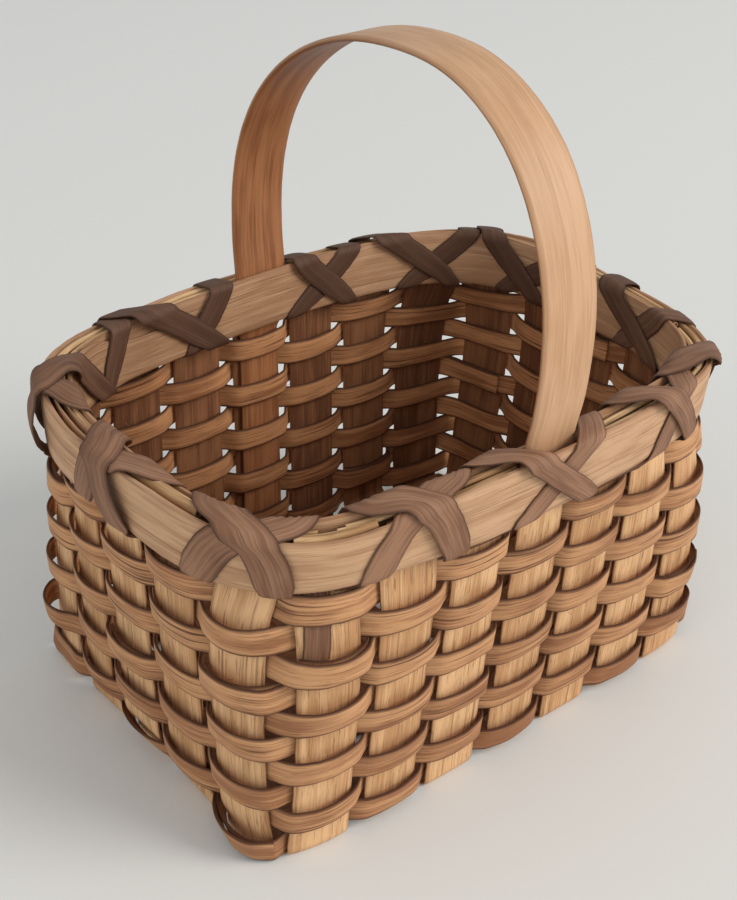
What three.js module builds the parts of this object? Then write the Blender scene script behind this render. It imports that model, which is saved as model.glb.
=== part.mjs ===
// Small oblong gathering basket of flat wood splint, with a fixed bow handle.
// Crosswise and lengthwise strips weave the base and turn up as the stakes of the wall.
// Separate weaver strips go round the wall, and two hoops and a lashing close the rim.
// Millimetres, +Z up. The base rests on z = 0, X is the basket's length and Y its width.
import * as THREE from 'three';

// Strips that make the base and the stakes
const CROSS_STAKES = 7;
const LONG_STAKES = 5;
const STAKE_THICKNESS = 0.8;
const CROSS_STAKE_WIDTH = 12;
const CROSS_STAKE_TAPER = 0.8;
const LONG_STAKE_WIDTH = 11.6;
const LONG_STAKE_TAPER = 0.6;
const CROSS_STAKE_GAP = 3.4;
const CROSS_STAKE_RIM_GAP = 3.8;
const LONG_STAKE_GAP = 4.2;
const LONG_STAKE_RIM_GAP = 3.4;

// Room between the last stake of a side and the wall round the corner
const BASE_END_ROOM = 5;
const BASE_SIDE_ROOM = 2.6;
const RIM_END_ROOM = 9.1;
const RIM_SIDE_ROOM = 8.1;
const BASE_CORNER_EXPONENT = 12;
const RIM_CORNER_EXPONENT = 3.4;
const BEND_RADIUS = 1.1;
const STAKE_STUB = 10.2;

// The far left corner is drawn in below the rim: the stake it centres on, how many stakes it
// reaches each way, how far in, and the heights between which it starts and ends
const DRAWN_IN_STAKE = 20;
const DRAWN_IN_REACH = 1.6;
const DRAWN_IN_DEPTH = 2.3;
const DRAWN_IN_START = [0, 8.2];
const DRAWN_IN_END = [49, 57];

// The left wall leans in at its foot, in the same terms, up to a height
const FOOT_LEAN_STAKE = 22;
const FOOT_LEAN_REACH = 3.4;
const FOOT_LEAN_DEPTH = 4;
const FOOT_LEAN_HEIGHT = 8.3;

// Weavers
const WEAVER_ROWS = 10;
const WEAVER_WIDTH = 4.95;
const WEAVER_THICKNESS = 0.7;
const ROW_GAP = 0.4;
const WEAVER_BULGE = 0.9;
const WEAVER_FIRST_STAKES = [10, 20, 1, 24, 12, 22, 6, 18, 13, 23];

// Rim hoops and the strands that fill the space between them
const HOOP_HEIGHT = 12;
const OUTER_HOOP_THICKNESS = 1.4;
const INNER_HOOP_THICKNESS = 1.2;
const HOOP_END_THICKNESS = 0.25;
const OUTER_HOOP_START_STAKE = 12;
const INNER_HOOP_START_STAKE = 16.8;
const HOOP_SCARF_STAKES = 1.3;
const HOOP_TIP_STAKES = 0.75;
const HOOP_TIP_INSET = 4.2;
const STRAND_DIAMETER = 1.3;
const STRAND_START_STAKE = 6.6;
const STRAND_SIDES = 5;

// How far the top edge of each hoop, and the low edge of both, lies above or below its plain
// height, at stakes 1 to 24
const OUTER_HOOP_LIE = [
  -3.0, -0.6, 0.2, -0.1, 0.0, 0.0, -0.9, -2.8, -2.6, -2.3, -1.5, -2.0,
  -2.4, -2.4, -2.0, -1.7, -1.5, -1.9, -1.0, 0.3, -1.6, -1.5, -0.7, -2.0,
];
const INNER_HOOP_LIE = [
  -1.2, 0.0, 0.0, 0.0, 0.0, 0.0, -0.5, -1.5, -1.3, -0.8, -0.4, -0.4,
  -0.3, -0.2, 0.0, 0.1, -0.3, -0.5, -0.3, 0.0, -0.8, -1.4, -1.3, -1.8,
];
const LOW_EDGE_LIE = [
  -0.7, 0.5, -0.2, -0.2, -0.2, 0.2, -0.9, -0.9, -0.6, -0.5, -0.4, -0.5,
  -0.4, -0.3, 0.0, 0.0, -0.3, -0.4, -0.6, -1.0, -1.0, -0.5, -0.8, -0.8,
];

// Lashing
const LASHING_WIDTH = 5;
const LASHING_THICKNESS = 0.5;
const LASHING_TUCK_WIDTH = 0.6;
const LASHING_TAIL_SHARE = 0.38;
const LASHING_SLANT_ANGLE = 0.45;
const CREST_LEAN_SHARE = 0.5;
const CREST_TURN_SHARE = 0.35;
const CLIMB_SHARES = [0.25, 0.5, 0.75];
const TUCK_LEAN_SHARE = 0.4;
const LASHING_FOOT_SHARE = 0.8;

// Each pass of the lashing over the rim, in stake numbers: the gap where it comes out, its foot on
// the outer hoop, the rim's outer edge, middle and inner edge, its foot on the inner hoop and the
// gap where it goes in
const PASSES_FORWARD = [
  [1.5, 1.45, 1.85, 2.25, 2.68, 2.7, 2.56],
  [3.5, 3.45, 4.5, 4.7, 4.84, 4.85, 4.5],
  [5.5, 5.85, 6.3, 6.5, 6.7, 6.75, 6.56],
  [8.5, 8.5, 8.5, 8.55, 8.6, 9.35, 9.5],
  [10.5, 10.5, 10.55, 10.55, 10.6, 11.75, 11.5],
  [12.5, 12.45, 12.4, 12.4, 12.42, 13.55, 13.5],
  [14.5, 14.5, 14.4, 14.4, 14.42, 15.5, 15.5],
  [16.5, 16.6, 16.7, 16.7, 16.7, 17.6, 17.5],
  [18.5, 18.45, 18.35, 18.38, 18.45, 18.8, 19.5],
  [19.5, 19.7, 20.1, 20.4, 20.75, 20.85, 20.5],
  [21.5, 21.4, 21.85, 22.3, 22.8, 22.9, 22.5],
  [23.5, 23.47, 24, 24.38, 24.72, 24.75, 24.5],
];
const PASSES_BACK = [
  [24.5, 24.45, 24.22, 23.93, 23.5, 23.45, 23.5],
  [22.5, 22.35, 21.95, 21.75, 21.5, 21.42, 21.5],
  [20.5, 20.3, 20.25, 20.05, 19.7, 18.75, 18.5],
  [17.5, 17.7, 18.25, 18.15, 17.85, 16.75, 16.5],
  [15.5, 15.45, 15.36, 15.3, 15.28, 14.42, 14.5],
  [13.5, 13.6, 14, 13.95, 13.7, 12.6, 12.5],
  [11.5, 11.7, 12.15, 12.12, 12, 10.95, 10.5],
  [9.5, 9.55, 9.7, 9.7, 9.65, 8.45, 8.5],
  [8.5, 8.1, 7.55, 7.1, 6.5, 6.38, 6.44],
  [6.44, 6.62, 5.98, 5.68, 5.35, 5.25, 5.5],
  [4.5, 4.62, 3.62, 3.34, 3, 2.75, 2.44],
  [2.44, 2.48, 2.1, 1.9, 1.45, 1.3, 1.5],
];

// Handle
const HANDLE_WIDTH = 12.4;
const HANDLE_THICKNESS = 1.3;
const HANDLE_TAIL_WIDTH = 9.8;
const HANDLE_TAIL_THICKNESS = 0.8;
const HANDLE_TAIL_ROWS = 8.5;
const HANDLE_BOW = 1.4;
const HANDLE_EARLY_BOW = 1.1;
const HANDLE_STRAIGHT = 15;
const HANDLE_ARCH_HEIGHT = 44.6;
const HANDLE_LEAN = 6.1;
const NEAR_ARCH_EXPONENT = 2.16;
const FAR_ARCH_EXPONENT = 2.13;
const HANDLE_TAIL_SHIFT = 0.4;
const HANDLE_SHIFT = 0.9;
const HANDLE_TOP_SHIFT = 1.8;

// Space left between strips that touch
const CLEARANCE = 0.3;

// Sizes that follow from these
const STAKES = 2 * (CROSS_STAKES + LONG_STAKES);
const RIGHT_START = CROSS_STAKES;
const FAR_START = RIGHT_START + LONG_STAKES;
const LEFT_START = FAR_START + CROSS_STAKES;
const NEAR_HANDLE_STAKE = (CROSS_STAKES + 1) / 2;
const FAR_HANDLE_STAKE = FAR_START + NEAR_HANDLE_STAKE;

const CROSS_STAKE_RIM_WIDTH = CROSS_STAKE_WIDTH - CROSS_STAKE_TAPER;
const LONG_STAKE_RIM_WIDTH = LONG_STAKE_WIDTH - LONG_STAKE_TAPER;
const CROSS_PITCH = CROSS_STAKE_WIDTH + CROSS_STAKE_GAP;
const CROSS_RIM_PITCH = CROSS_STAKE_RIM_WIDTH + CROSS_STAKE_RIM_GAP;
const LONG_PITCH = LONG_STAKE_WIDTH + LONG_STAKE_GAP;
const LONG_RIM_PITCH = LONG_STAKE_RIM_WIDTH + LONG_STAKE_RIM_GAP;
const BASE_HALF_LENGTH = reach(CROSS_STAKES, CROSS_PITCH, CROSS_STAKE_WIDTH, BASE_END_ROOM);
const BASE_HALF_WIDTH = reach(LONG_STAKES, LONG_PITCH, LONG_STAKE_WIDTH, BASE_SIDE_ROOM);
const RIM_HALF_LENGTH = reach(CROSS_STAKES, CROSS_RIM_PITCH, CROSS_STAKE_RIM_WIDTH, RIM_END_ROOM);
const RIM_HALF_WIDTH = reach(LONG_STAKES, LONG_RIM_PITCH, LONG_STAKE_RIM_WIDTH, RIM_SIDE_ROOM);

const LOW_LAYER = STAKE_THICKNESS / 2;
const HIGH_LAYER = LOW_LAYER + STAKE_THICKNESS + CLEARANCE;
const BASE_STACK = HIGH_LAYER + STAKE_THICKNESS / 2;
const ROW_PITCH = WEAVER_WIDTH + ROW_GAP;
const WEAVE_START = BASE_STACK + CLEARANCE;
const WEAVE_TOP = WEAVE_START + WEAVER_ROWS * ROW_PITCH - ROW_GAP;
const WALL_FOOT = HIGH_LAYER + BEND_RADIUS + CLEARANCE;

const WEAVE_OFFSET = STAKE_THICKNESS / 2 + CLEARANCE + WEAVER_THICKNESS / 2;
const WEAVER_LAYER = WEAVER_THICKNESS + CLEARANCE;
const TAIL_ROOM = HANDLE_TAIL_THICKNESS + CLEARANCE;

const TUCK_STEP = LASHING_TUCK_WIDTH + CLEARANCE;
const HOOP_LOW = WEAVE_TOP + CLEARANCE + 2 * TUCK_STEP;
const HOOP_TOP = HOOP_LOW + HOOP_HEIGHT;
const STAKE_TOP = HOOP_LOW + STAKE_STUB;
const STRAND_RADIUS = STRAND_DIAMETER / 2;
const STRAND_HEIGHT = STAKE_TOP + CLEARANCE + STRAND_RADIUS;
const RIM_CREST = Math.max(HOOP_TOP, STRAND_HEIGHT + STRAND_RADIUS);

const HANDLE_FACE = -(STAKE_THICKNESS / 2 + CLEARANCE);
const OUTER_STRAND_OUT = STRAND_RADIUS - STAKE_THICKNESS / 2;
const INNER_STRAND_OUT = OUTER_STRAND_OUT - STRAND_DIAMETER - CLEARANCE;
const OUTER_HOOP_FACE = OUTER_STRAND_OUT + STRAND_RADIUS + CLEARANCE;
const INNER_HOOP_FACE = Math.min(
  HANDLE_FACE - HANDLE_THICKNESS - CLEARANCE,
  INNER_STRAND_OUT - STRAND_RADIUS - CLEARANCE,
);
const OUTER_RIM = OUTER_HOOP_FACE + OUTER_HOOP_THICKNESS;
const INNER_RIM = INNER_HOOP_FACE - INNER_HOOP_THICKNESS;

const BEND_STEPS = 2;
const STAKE_STATIONS = [1, 0.94, 0.87, 0.74, 0.5, 0.25, 0.15];
const HOOP_STATIONS_PER_STAKE = 3;
const STRAND_STATIONS_PER_STAKE = 2;
const ARCH_STEPS = 16;
const UP = new THREE.Vector3(0, 0, 1);

const splint = (name, color, roughness) => {
  const material = new THREE.MeshStandardMaterial({ color, roughness, metalness: 0 });
  material.name = name;
  return material;
};

// Half the size of the plan along one axis, from the stakes that stand along it
function reach(count, pitch, width, room) {
  return (pitch * (count - 1)) / 2 + width / 2 + room;
}

function lerp(from, to, share) {
  return from + (to - from) * share;
}

// The wall's plan at a height: a rounded rectangle, squarer at the base than at the rim
function planAt(z) {
  const share = z / WEAVE_TOP;
  return {
    halfLength: lerp(BASE_HALF_LENGTH, RIM_HALF_LENGTH, share),
    halfWidth: lerp(BASE_HALF_WIDTH, RIM_HALF_WIDTH, share),
    exponent: lerp(BASE_CORNER_EXPONENT, RIM_CORNER_EXPONENT, Math.min(1, share)),
    crossPitch: lerp(CROSS_PITCH, CROSS_RIM_PITCH, share),
    longPitch: lerp(LONG_PITCH, LONG_RIM_PITCH, share),
  };
}

// The other coordinate of the rounded rectangle, where one is given
function across(along, alongHalf, acrossHalf, exponent) {
  return acrossHalf * (1 - Math.abs(along / alongHalf) ** exponent) ** (1 / exponent);
}

// The angle about Z of stake number k, counted from the near left corner past the near side
function stakeAngle(k, z) {
  const turn = Math.floor((k - 1) / STAKES);
  const stake = k - turn * STAKES;
  const plan = planAt(z);
  const crossMiddle = (CROSS_STAKES + 1) / 2;
  const longMiddle = (LONG_STAKES + 1) / 2;
  let x;
  let y;
  if (stake <= RIGHT_START || (stake > FAR_START && stake <= LEFT_START)) {
    const near = stake <= RIGHT_START;
    x = (near ? stake - crossMiddle : crossMiddle + FAR_START - stake) * plan.crossPitch;
    y = across(x, plan.halfLength, plan.halfWidth, plan.exponent) * (near ? -1 : 1);
  } else {
    const right = stake <= FAR_START;
    const first = right ? RIGHT_START : LEFT_START;
    y = (stake - first - longMiddle) * plan.longPitch * (right ? 1 : -1);
    x = across(y, plan.halfWidth, plan.halfLength, plan.exponent) * (right ? 1 : -1);
  }
  const angle = Math.atan2(y, x);
  const wrapped = stake > LEFT_START && angle < 0 ? angle + 2 * Math.PI : angle;
  return wrapped + turn * 2 * Math.PI;
}

// How near a place round the wall is to a stake, from 1 at the stake to 0 at its reach
function nearness(u, stakeNumber, reachOut) {
  const turned = Math.abs(u - stakeNumber) % STAKES;
  const away = Math.min(turned, STAKES - turned);
  return Math.cos((Math.PI / 2) * Math.min(1, away / reachOut)) ** 2;
}

// How far in the wall is drawn at the far left corner and at the foot of the left wall
function drawnIn(u, z) {
  const { clamp, smoothstep } = THREE.MathUtils;
  const level = smoothstep(z, ...DRAWN_IN_START) * (1 - smoothstep(z, ...DRAWN_IN_END));
  const foot = FOOT_LEAN_DEPTH * clamp(1 - z / FOOT_LEAN_HEIGHT, 0, 1);
  return DRAWN_IN_DEPTH * level * nearness(u, DRAWN_IN_STAKE, DRAWN_IN_REACH)
    + foot * nearness(u, FOOT_LEAN_STAKE, FOOT_LEAN_REACH);
}

// A place on the wall: u counts stakes round the basket, out is the distance outwards
function wallPlace(u, z) {
  const low = Math.floor(u);
  const angle = lerp(stakeAngle(low, z), stakeAngle(low + 1, z), u - low);
  const { halfLength, halfWidth, exponent } = planAt(z);
  const c = Math.cos(angle);
  const s = Math.sin(angle);
  const sum = Math.abs(c / halfLength) ** exponent + Math.abs(s / halfWidth) ** exponent;
  const radius = sum ** (-1 / exponent);
  const point = new THREE.Vector3(radius * c, radius * s, z);
  const outward = new THREE.Vector3(
    (Math.sign(c) * Math.abs(point.x / halfLength) ** (exponent - 1)) / halfLength,
    (Math.sign(s) * Math.abs(point.y / halfWidth) ** (exponent - 1)) / halfWidth,
    0,
  ).normalize();
  return { point: point.addScaledVector(outward, -drawnIn(u, z)), outward };
}

function wallPoint(u, z, out) {
  const { point, outward } = wallPlace(u, z);
  return point.addScaledVector(outward, out);
}

// The value at u of a smooth curve through one given value for each stake
function lieAt(lie, u) {
  const low = Math.floor(u);
  const [a, b, c, d] = [-1, 0, 1, 2].map((step) => lie[(low + step - 1 + STAKES) % STAKES]);
  const t = u - low;
  const bend = t * (3 * b - 3 * c + d - a);
  return b + (t * (c - a + t * (2 * a - 5 * b + 4 * c - d + bend))) / 2;
}

// How far a place on the rim is shifted up or down by the lie of the hoops
function rimShift(u, z, out) {
  const { clamp } = THREE.MathUtils;
  const height = clamp((z - HOOP_LOW) / HOOP_HEIGHT, 0, 1);
  const outer = clamp((out - INNER_RIM) / (OUTER_RIM - INNER_RIM), 0, 1);
  const top = lerp(lieAt(INNER_HOOP_LIE, u), lieAt(OUTER_HOOP_LIE, u), outer);
  const below = clamp((z - WEAVE_TOP) / (HOOP_LOW - WEAVE_TOP), 0, 1);
  return below * lerp(lieAt(LOW_EDGE_LIE, u), top, height);
}

function rimPoint(u, z, out) {
  return wallPoint(u, z, out).addScaledVector(UP, rimShift(u, z, out));
}

function standsAcross(k) {
  const stake = ((k - 1) % STAKES) + 1;
  return stake <= RIGHT_START || (stake > FAR_START && stake <= LEFT_START);
}

// How far the edge of stake k lies from its middle, in u, towards one side
function edgeStep(k, side, z) {
  const share = Math.min(1, z / WEAVE_TOP);
  const width = standsAcross(k)
    ? lerp(CROSS_STAKE_WIDTH, CROSS_STAKE_RIM_WIDTH, share)
    : lerp(LONG_STAKE_WIDTH, LONG_STAKE_RIM_WIDTH, share);
  const middle = wallPoint(k, z, 0);
  const between = wallPoint(k + side / 2, z, 0);
  return width / 4 / middle.distanceTo(between);
}

// A closed strip from rows of points on its two faces, one row for each station
function strip(front, back) {
  const stations = front.length;
  const columns = front[0].length;
  const positions = [];
  for (const face of [front, back]) {
    for (const row of face) {
      for (const p of row) positions.push(p.x, p.y, p.z);
    }
  }
  const frontAt = (s, c) => s * columns + c;
  const backAt = (s, c) => (stations + s) * columns + c;
  const indices = [];
  const quad = (a, b, c, d) => indices.push(a, b, c, a, c, d);
  const last = columns - 1;
  for (let s = 0; s + 1 < stations; s += 1) {
    for (let c = 0; c < last; c += 1) {
      quad(frontAt(s, c), frontAt(s, c + 1), frontAt(s + 1, c + 1), frontAt(s + 1, c));
      quad(backAt(s, c), backAt(s + 1, c), backAt(s + 1, c + 1), backAt(s, c + 1));
    }
    quad(frontAt(s, 0), frontAt(s + 1, 0), backAt(s + 1, 0), backAt(s, 0));
    quad(frontAt(s, last), backAt(s, last), backAt(s + 1, last), frontAt(s + 1, last));
  }
  const end = stations - 1;
  for (let c = 0; c < last; c += 1) {
    quad(frontAt(0, c), backAt(0, c), backAt(0, c + 1), frontAt(0, c + 1));
    quad(frontAt(end, c), frontAt(end, c + 1), backAt(end, c + 1), backAt(end, c));
  }
  return facingOut(positions, indices);
}

// Turns every triangle round where the closed surface would enclose a negative volume
function facingOut(positions, indices) {
  const corner = (i) => new THREE.Vector3().fromArray(positions, 3 * i);
  let volume = 0;
  for (let i = 0; i < indices.length; i += 3) {
    const [a, b, c] = [0, 1, 2].map((step) => corner(indices[i + step]));
    volume += a.dot(b.cross(c));
  }
  if (volume < 0) indices.reverse();
  const geometry = new THREE.BufferGeometry();
  geometry.setAttribute('position', new THREE.Float32BufferAttribute(positions, 3));
  geometry.setIndex(indices);
  geometry.computeVertexNormals();
  return geometry;
}

// The two faces of a strip of even thickness about its middle surface
function slab(rows, thickness) {
  const face = (side) => rows.map((row) => row.map(
    ({ point, outward }) => point.clone().addScaledVector(outward, (side * thickness) / 2),
  ));
  return strip(face(1), face(-1));
}

// A point on the turn from the wall down to the base, for one edge or the middle of a stake
function bendPlace(wall, inward, layer, turned) {
  const angle = (turned * Math.PI) / 2;
  const point = wall.clone().addScaledVector(inward, BEND_RADIUS * (1 - Math.cos(angle)));
  point.z = layer + BEND_RADIUS * (1 - Math.sin(angle));
  const outward = inward.clone().multiplyScalar(-Math.cos(angle)).addScaledVector(UP, -Math.sin(angle));
  return { point, outward };
}

// One strip of base and wall. Its middle line runs up one wall, across the base and up the other.
function stake({ start, end, at, along, turn, width, crossings, layerOf, rampEnds }) {
  const rises = STAKE_STATIONS.map((share) => share * WEAVE_TOP);
  const heights = [STAKE_TOP, ...rises, WALL_FOOT];
  const columns = [-1, 0, 1];
  const column = (k, sign, c, z) => {
    const side = c * turn * sign;
    const u = k + (side === 0 ? 0 : side * edgeStep(k, side, z));
    const { point, outward } = wallPlace(u, z);
    return { point: point.addScaledVector(UP, rimShift(u, z, 0)), outward };
  };
  const rise = (k, sign, layer) => {
    const inward = along.clone().multiplyScalar(sign);
    const rows = heights.map((z) => columns.map((c) => column(k, sign, c, z)));
    for (let step = 0; step <= BEND_STEPS; step += 1) {
      rows.push(columns.map((c) => {
        const wall = column(k, sign, c, WALL_FOOT).point;
        return bendPlace(wall, inward, layer, step / BEND_STEPS);
      }));
    }
    return rows;
  };
  const firstLayer = rampEnds ? LOW_LAYER : layerOf(0);
  const lastLayer = rampEnds ? LOW_LAYER : layerOf(crossings.length - 1);
  const floorRow = (distance, z) => columns.map((c) => ({
    point: at.clone().addScaledVector(along, distance)
      .addScaledVector(new THREE.Vector3(along.y, along.x, 0), (c * width) / 2)
      .setZ(z),
    outward: UP.clone().negate(),
  }));
  const floor = crossings.flatMap(({ from, to }, i) => [
    floorRow(from, layerOf(i)),
    floorRow(to, layerOf(i)),
  ]);
  const rows = [
    ...rise(start, 1, firstLayer),
    ...floor,
    ...rise(end, -1, lastLayer).reverse(),
  ];
  return slab(rows, STAKE_THICKNESS);
}

// The stretches of a strip that lie under or over the strips that cross it
function crossingsOf(count, pitch, width) {
  return Array.from({ length: count }, (_, i) => {
    const middle = (i - (count - 1) / 2) * pitch;
    return { from: middle - width / 2, to: middle + width / 2 };
  });
}

function crossStake(i) {
  return stake({
    start: i + 1,
    end: FAR_START + CROSS_STAKES - i,
    at: new THREE.Vector3((i - (CROSS_STAKES - 1) / 2) * CROSS_PITCH, 0, 0),
    along: new THREE.Vector3(0, 1, 0),
    turn: 1,
    width: CROSS_STAKE_WIDTH,
    crossings: crossingsOf(LONG_STAKES, LONG_PITCH, LONG_STAKE_WIDTH),
    layerOf: (m) => ((i + m) % 2 === 0 ? LOW_LAYER : HIGH_LAYER),
    rampEnds: false,
  });
}

function longStake(m) {
  return stake({
    start: STAKES - m,
    end: RIGHT_START + 1 + m,
    at: new THREE.Vector3(0, (m - (LONG_STAKES - 1) / 2) * LONG_PITCH, 0),
    along: new THREE.Vector3(1, 0, 0),
    turn: -1,
    width: LONG_STAKE_WIDTH,
    crossings: crossingsOf(CROSS_STAKES, CROSS_PITCH, CROSS_STAKE_WIDTH),
    layerOf: (i) => ((i + m) % 2 === 0 ? HIGH_LAYER : LOW_LAYER),
    rampEnds: true,
  });
}

// One weaver: a strip that goes once round the wall and laps over its own start by two stakes.
// Row 1 is the highest. Where row and stake number add up to an even number it passes outside.
function weaver(row) {
  const low = WEAVE_START + (WEAVER_ROWS - row) * ROW_PITCH;
  const high = low + WEAVER_WIDTH;
  const first = WEAVER_FIRST_STAKES[(row - 1) % WEAVER_FIRST_STAKES.length];
  const front = [];
  const back = [];
  for (let step = 0; step < STAKES + 2; step += 1) {
    const k = first + step;
    const outside = (row + k) % 2 === 0;
    const side = outside ? 1 : -1;
    const number = ((k - 1) % STAKES) + 1;
    const byHandle = number === NEAR_HANDLE_STAKE || number === FAR_HANDLE_STAKE;
    const lapUnder = step < 2 && !outside;
    const lapOver = step >= STAKES && outside;
    const room = !outside && byHandle ? TAIL_ROOM : 0;
    const lap = lapUnder || lapOver ? WEAVER_LAYER : 0;
    const edge = side * (WEAVE_OFFSET + room + lap);
    for (const c of [-1, 0, 1]) {
      const out = c === 0 ? edge + side * WEAVER_BULGE : edge;
      const place = (z, face) => {
        const u = k + (c === 0 ? 0 : c * edgeStep(k, c, z));
        return wallPoint(u, z, out + (face * WEAVER_THICKNESS) / 2);
      };
      front.push([place(low, 1), place(high, 1)]);
      back.push([place(low, -1), place(high, -1)]);
    }
  }
  return strip(front, back);
}

// A rim hoop: a flat band whose two thinned ends lap in a scarf, the upper one cut to a point
function hoop(start, face, thickness) {
  const sign = Math.sign(face);
  const lapThick = thickness - CLEARANCE - HOOP_END_THICKNESS;
  const steps = Math.round((STAKES + HOOP_SCARF_STAKES) * HOOP_STATIONS_PER_STAKE);
  const front = [];
  const back = [];
  for (let i = 0; i <= steps; i += 1) {
    const travelled = ((STAKES + HOOP_SCARF_STAKES) * i) / steps;
    const inset = HOOP_TIP_INSET * Math.max(0, 1 - travelled / HOOP_TIP_STAKES);
    let near = 0;
    let far = thickness;
    if (travelled < HOOP_SCARF_STAKES) {
      const share = travelled / HOOP_SCARF_STAKES;
      near = thickness - lerp(HOOP_END_THICKNESS, lapThick, share);
    } else if (travelled > STAKES) {
      const share = (travelled - STAKES) / HOOP_SCARF_STAKES;
      far = lerp(lapThick, HOOP_END_THICKNESS, share);
    }
    const row = (depth) => [HOOP_LOW + inset, HOOP_TOP - inset].map(
      (z) => rimPoint(start + travelled, z, face + sign * depth),
    );
    front.push(row(far));
    back.push(row(near));
  }
  return strip(front, back);
}

// A round strand that lies on the stake ends between the hoops
function strand(from, to, out) {
  const steps = Math.round((to - from) * STRAND_STATIONS_PER_STAKE);
  const positions = [];
  const indices = [];
  for (let i = 0; i <= steps; i += 1) {
    const u = lerp(from, to, i / steps);
    for (let n = 0; n < STRAND_SIDES; n += 1) {
      const turn = (2 * Math.PI * n) / STRAND_SIDES;
      const p = rimPoint(u, STRAND_HEIGHT, out + STRAND_RADIUS * Math.cos(turn));
      positions.push(p.x, p.y, p.z + STRAND_RADIUS * Math.sin(turn));
    }
  }
  const at = (i, n) => i * STRAND_SIDES + (n % STRAND_SIDES);
  for (let i = 0; i < steps; i += 1) {
    for (let n = 0; n < STRAND_SIDES; n += 1) {
      indices.push(at(i, n), at(i, n + 1), at(i + 1, n + 1));
      indices.push(at(i, n), at(i + 1, n + 1), at(i + 1, n));
    }
  }
  for (let n = 1; n + 1 < STRAND_SIDES; n += 1) {
    indices.push(at(0, 0), at(0, n + 1), at(0, n));
    indices.push(at(steps, 0), at(steps, n), at(steps, n + 1));
  }
  return facingOut(positions, indices);
}

// The u that a length along the rim takes up beside the handle's stake
function rimShare(length) {
  const halfGap = wallPoint(NEAR_HANDLE_STAKE, HOOP_TOP, 0)
    .distanceTo(wallPoint(NEAR_HANDLE_STAKE + 0.5, HOOP_TOP, 0));
  return length / halfGap / 2;
}

// The lashing strip that goes round the rim one way, pass by pass.
// Direction 1 goes with the stake numbers, close to the hoops, and -1 comes back over it.
// Each station is a row across the strip: along the rim, upright, or on the turn between them.
function lashing(direction, passes) {
  const lift = direction > 0 ? 0 : LASHING_THICKNESS + CLEARANCE;
  const half = LASHING_THICKNESS / 2 + CLEARANCE;
  const outside = OUTER_RIM + half + lift;
  const inside = INNER_RIM - half - lift;
  const crest = RIM_CREST + half + lift;
  const band = WEAVE_TOP + CLEARANCE + LASHING_TUCK_WIDTH / 2 + (direction > 0 ? 0 : TUCK_STEP);
  const tucked = STAKE_THICKNESS / 2 + half;
  const tuckSpan = rimShare(LASHING_TUCK_WIDTH);
  const wideSpan = rimShare(LASHING_WIDTH / Math.cos(LASHING_SLANT_ANGLE));
  const footSpan = lerp(tuckSpan, wideSpan, LASHING_FOOT_SHARE);
  const sideStep = direction * rimShare(TUCK_STEP);
  const mouth = TUCK_STEP + CLEARANCE;
  const outerMouth = HOOP_LOW - mouth / 2;
  const innerMouth = HOOP_LOW - mouth / 4;
  const upright = -direction * LASHING_TUCK_WIDTH;
  const footLevel = HOOP_LOW + mouth;
  const front = [];
  const back = [];
  const add = (u, out, z, spanU, spanZ, outFacing, upFacing) => {
    const row = (side) => [-1, 1].map((edge) => {
      const edgeU = u + (edge * spanU) / 2;
      const edgeZ = z + (edge * spanZ) / 2;
      const facing = wallPlace(edgeU, edgeZ).outward.multiplyScalar(outFacing)
        .addScaledVector(UP, upFacing).normalize();
      return rimPoint(edgeU, edgeZ, out).addScaledVector(facing, (side * LASHING_THICKNESS) / 2);
    });
    front.push(row(1));
    back.push(row(-1));
  };
  const runBehind = (u) => add(u, tucked, band, 0, upright, 1, 0);
  runBehind(passes[0][0] - direction * LASHING_TAIL_SHARE);
  passes.forEach(([start, footOut, topOut, top, topIn, footIn, end], i) => {
    const outerTurn = lerp(topOut, top, CREST_TURN_SHARE);
    const innerTurn = lerp(topIn, top, CREST_TURN_SHARE);
    if (i === 0 || passes[i - 1][6] !== start) runBehind(start - direction * tuckSpan);
    add(start + sideStep, outside - CLEARANCE, outerMouth, tuckSpan, upright / 2, 1, 0);
    add(footOut, outside, footLevel, footSpan, 0, 1, 0);
    CLIMB_SHARES.forEach((share) => {
      add(lerp(footOut, topOut, share), outside, lerp(footLevel, HOOP_TOP, share), wideSpan, 0, 1, 0);
    });
    add(topOut, outside, HOOP_TOP, wideSpan, 0, 1, 0);
    add(outerTurn, OUTER_RIM - CLEARANCE + lift / 2, crest, wideSpan, 0, CREST_LEAN_SHARE, 1);
    add(top, (OUTER_RIM + INNER_RIM) / 2, crest, wideSpan, 0, 0, 1);
    add(innerTurn, INNER_RIM + CLEARANCE - lift / 2, crest, wideSpan, 0, -CREST_LEAN_SHARE, 1);
    add(topIn, inside, HOOP_TOP, wideSpan, 0, -1, 0);
    CLIMB_SHARES.forEach((share) => {
      add(lerp(topIn, footIn, share), inside, lerp(HOOP_TOP, footLevel, share), wideSpan, 0, -1, 0);
    });
    add(footIn, inside, footLevel, footSpan, 0, -1, 0);
    add(end, inside + CLEARANCE, innerMouth, tuckSpan, 0, -1, -TUCK_LEAN_SHARE);
    add(end, INNER_HOOP_FACE, band, tuckSpan, 0, 0, -1);
    add(end, 0, band, tuckSpan, 0, 0, -1);
    const next = i + 1 < passes.length ? passes[i + 1][0] : end + direction * LASHING_TAIL_SHARE;
    if (next === end) return;
    runBehind(end + direction * tuckSpan);
    const stops = 2 * Math.abs(next - end);
    for (let stop = 1; stop < stops; stop += 1) runBehind(end + (direction * stop) / 2);
    if (i + 1 === passes.length) runBehind(next);
  });
  return strip(front, back);
}

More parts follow.
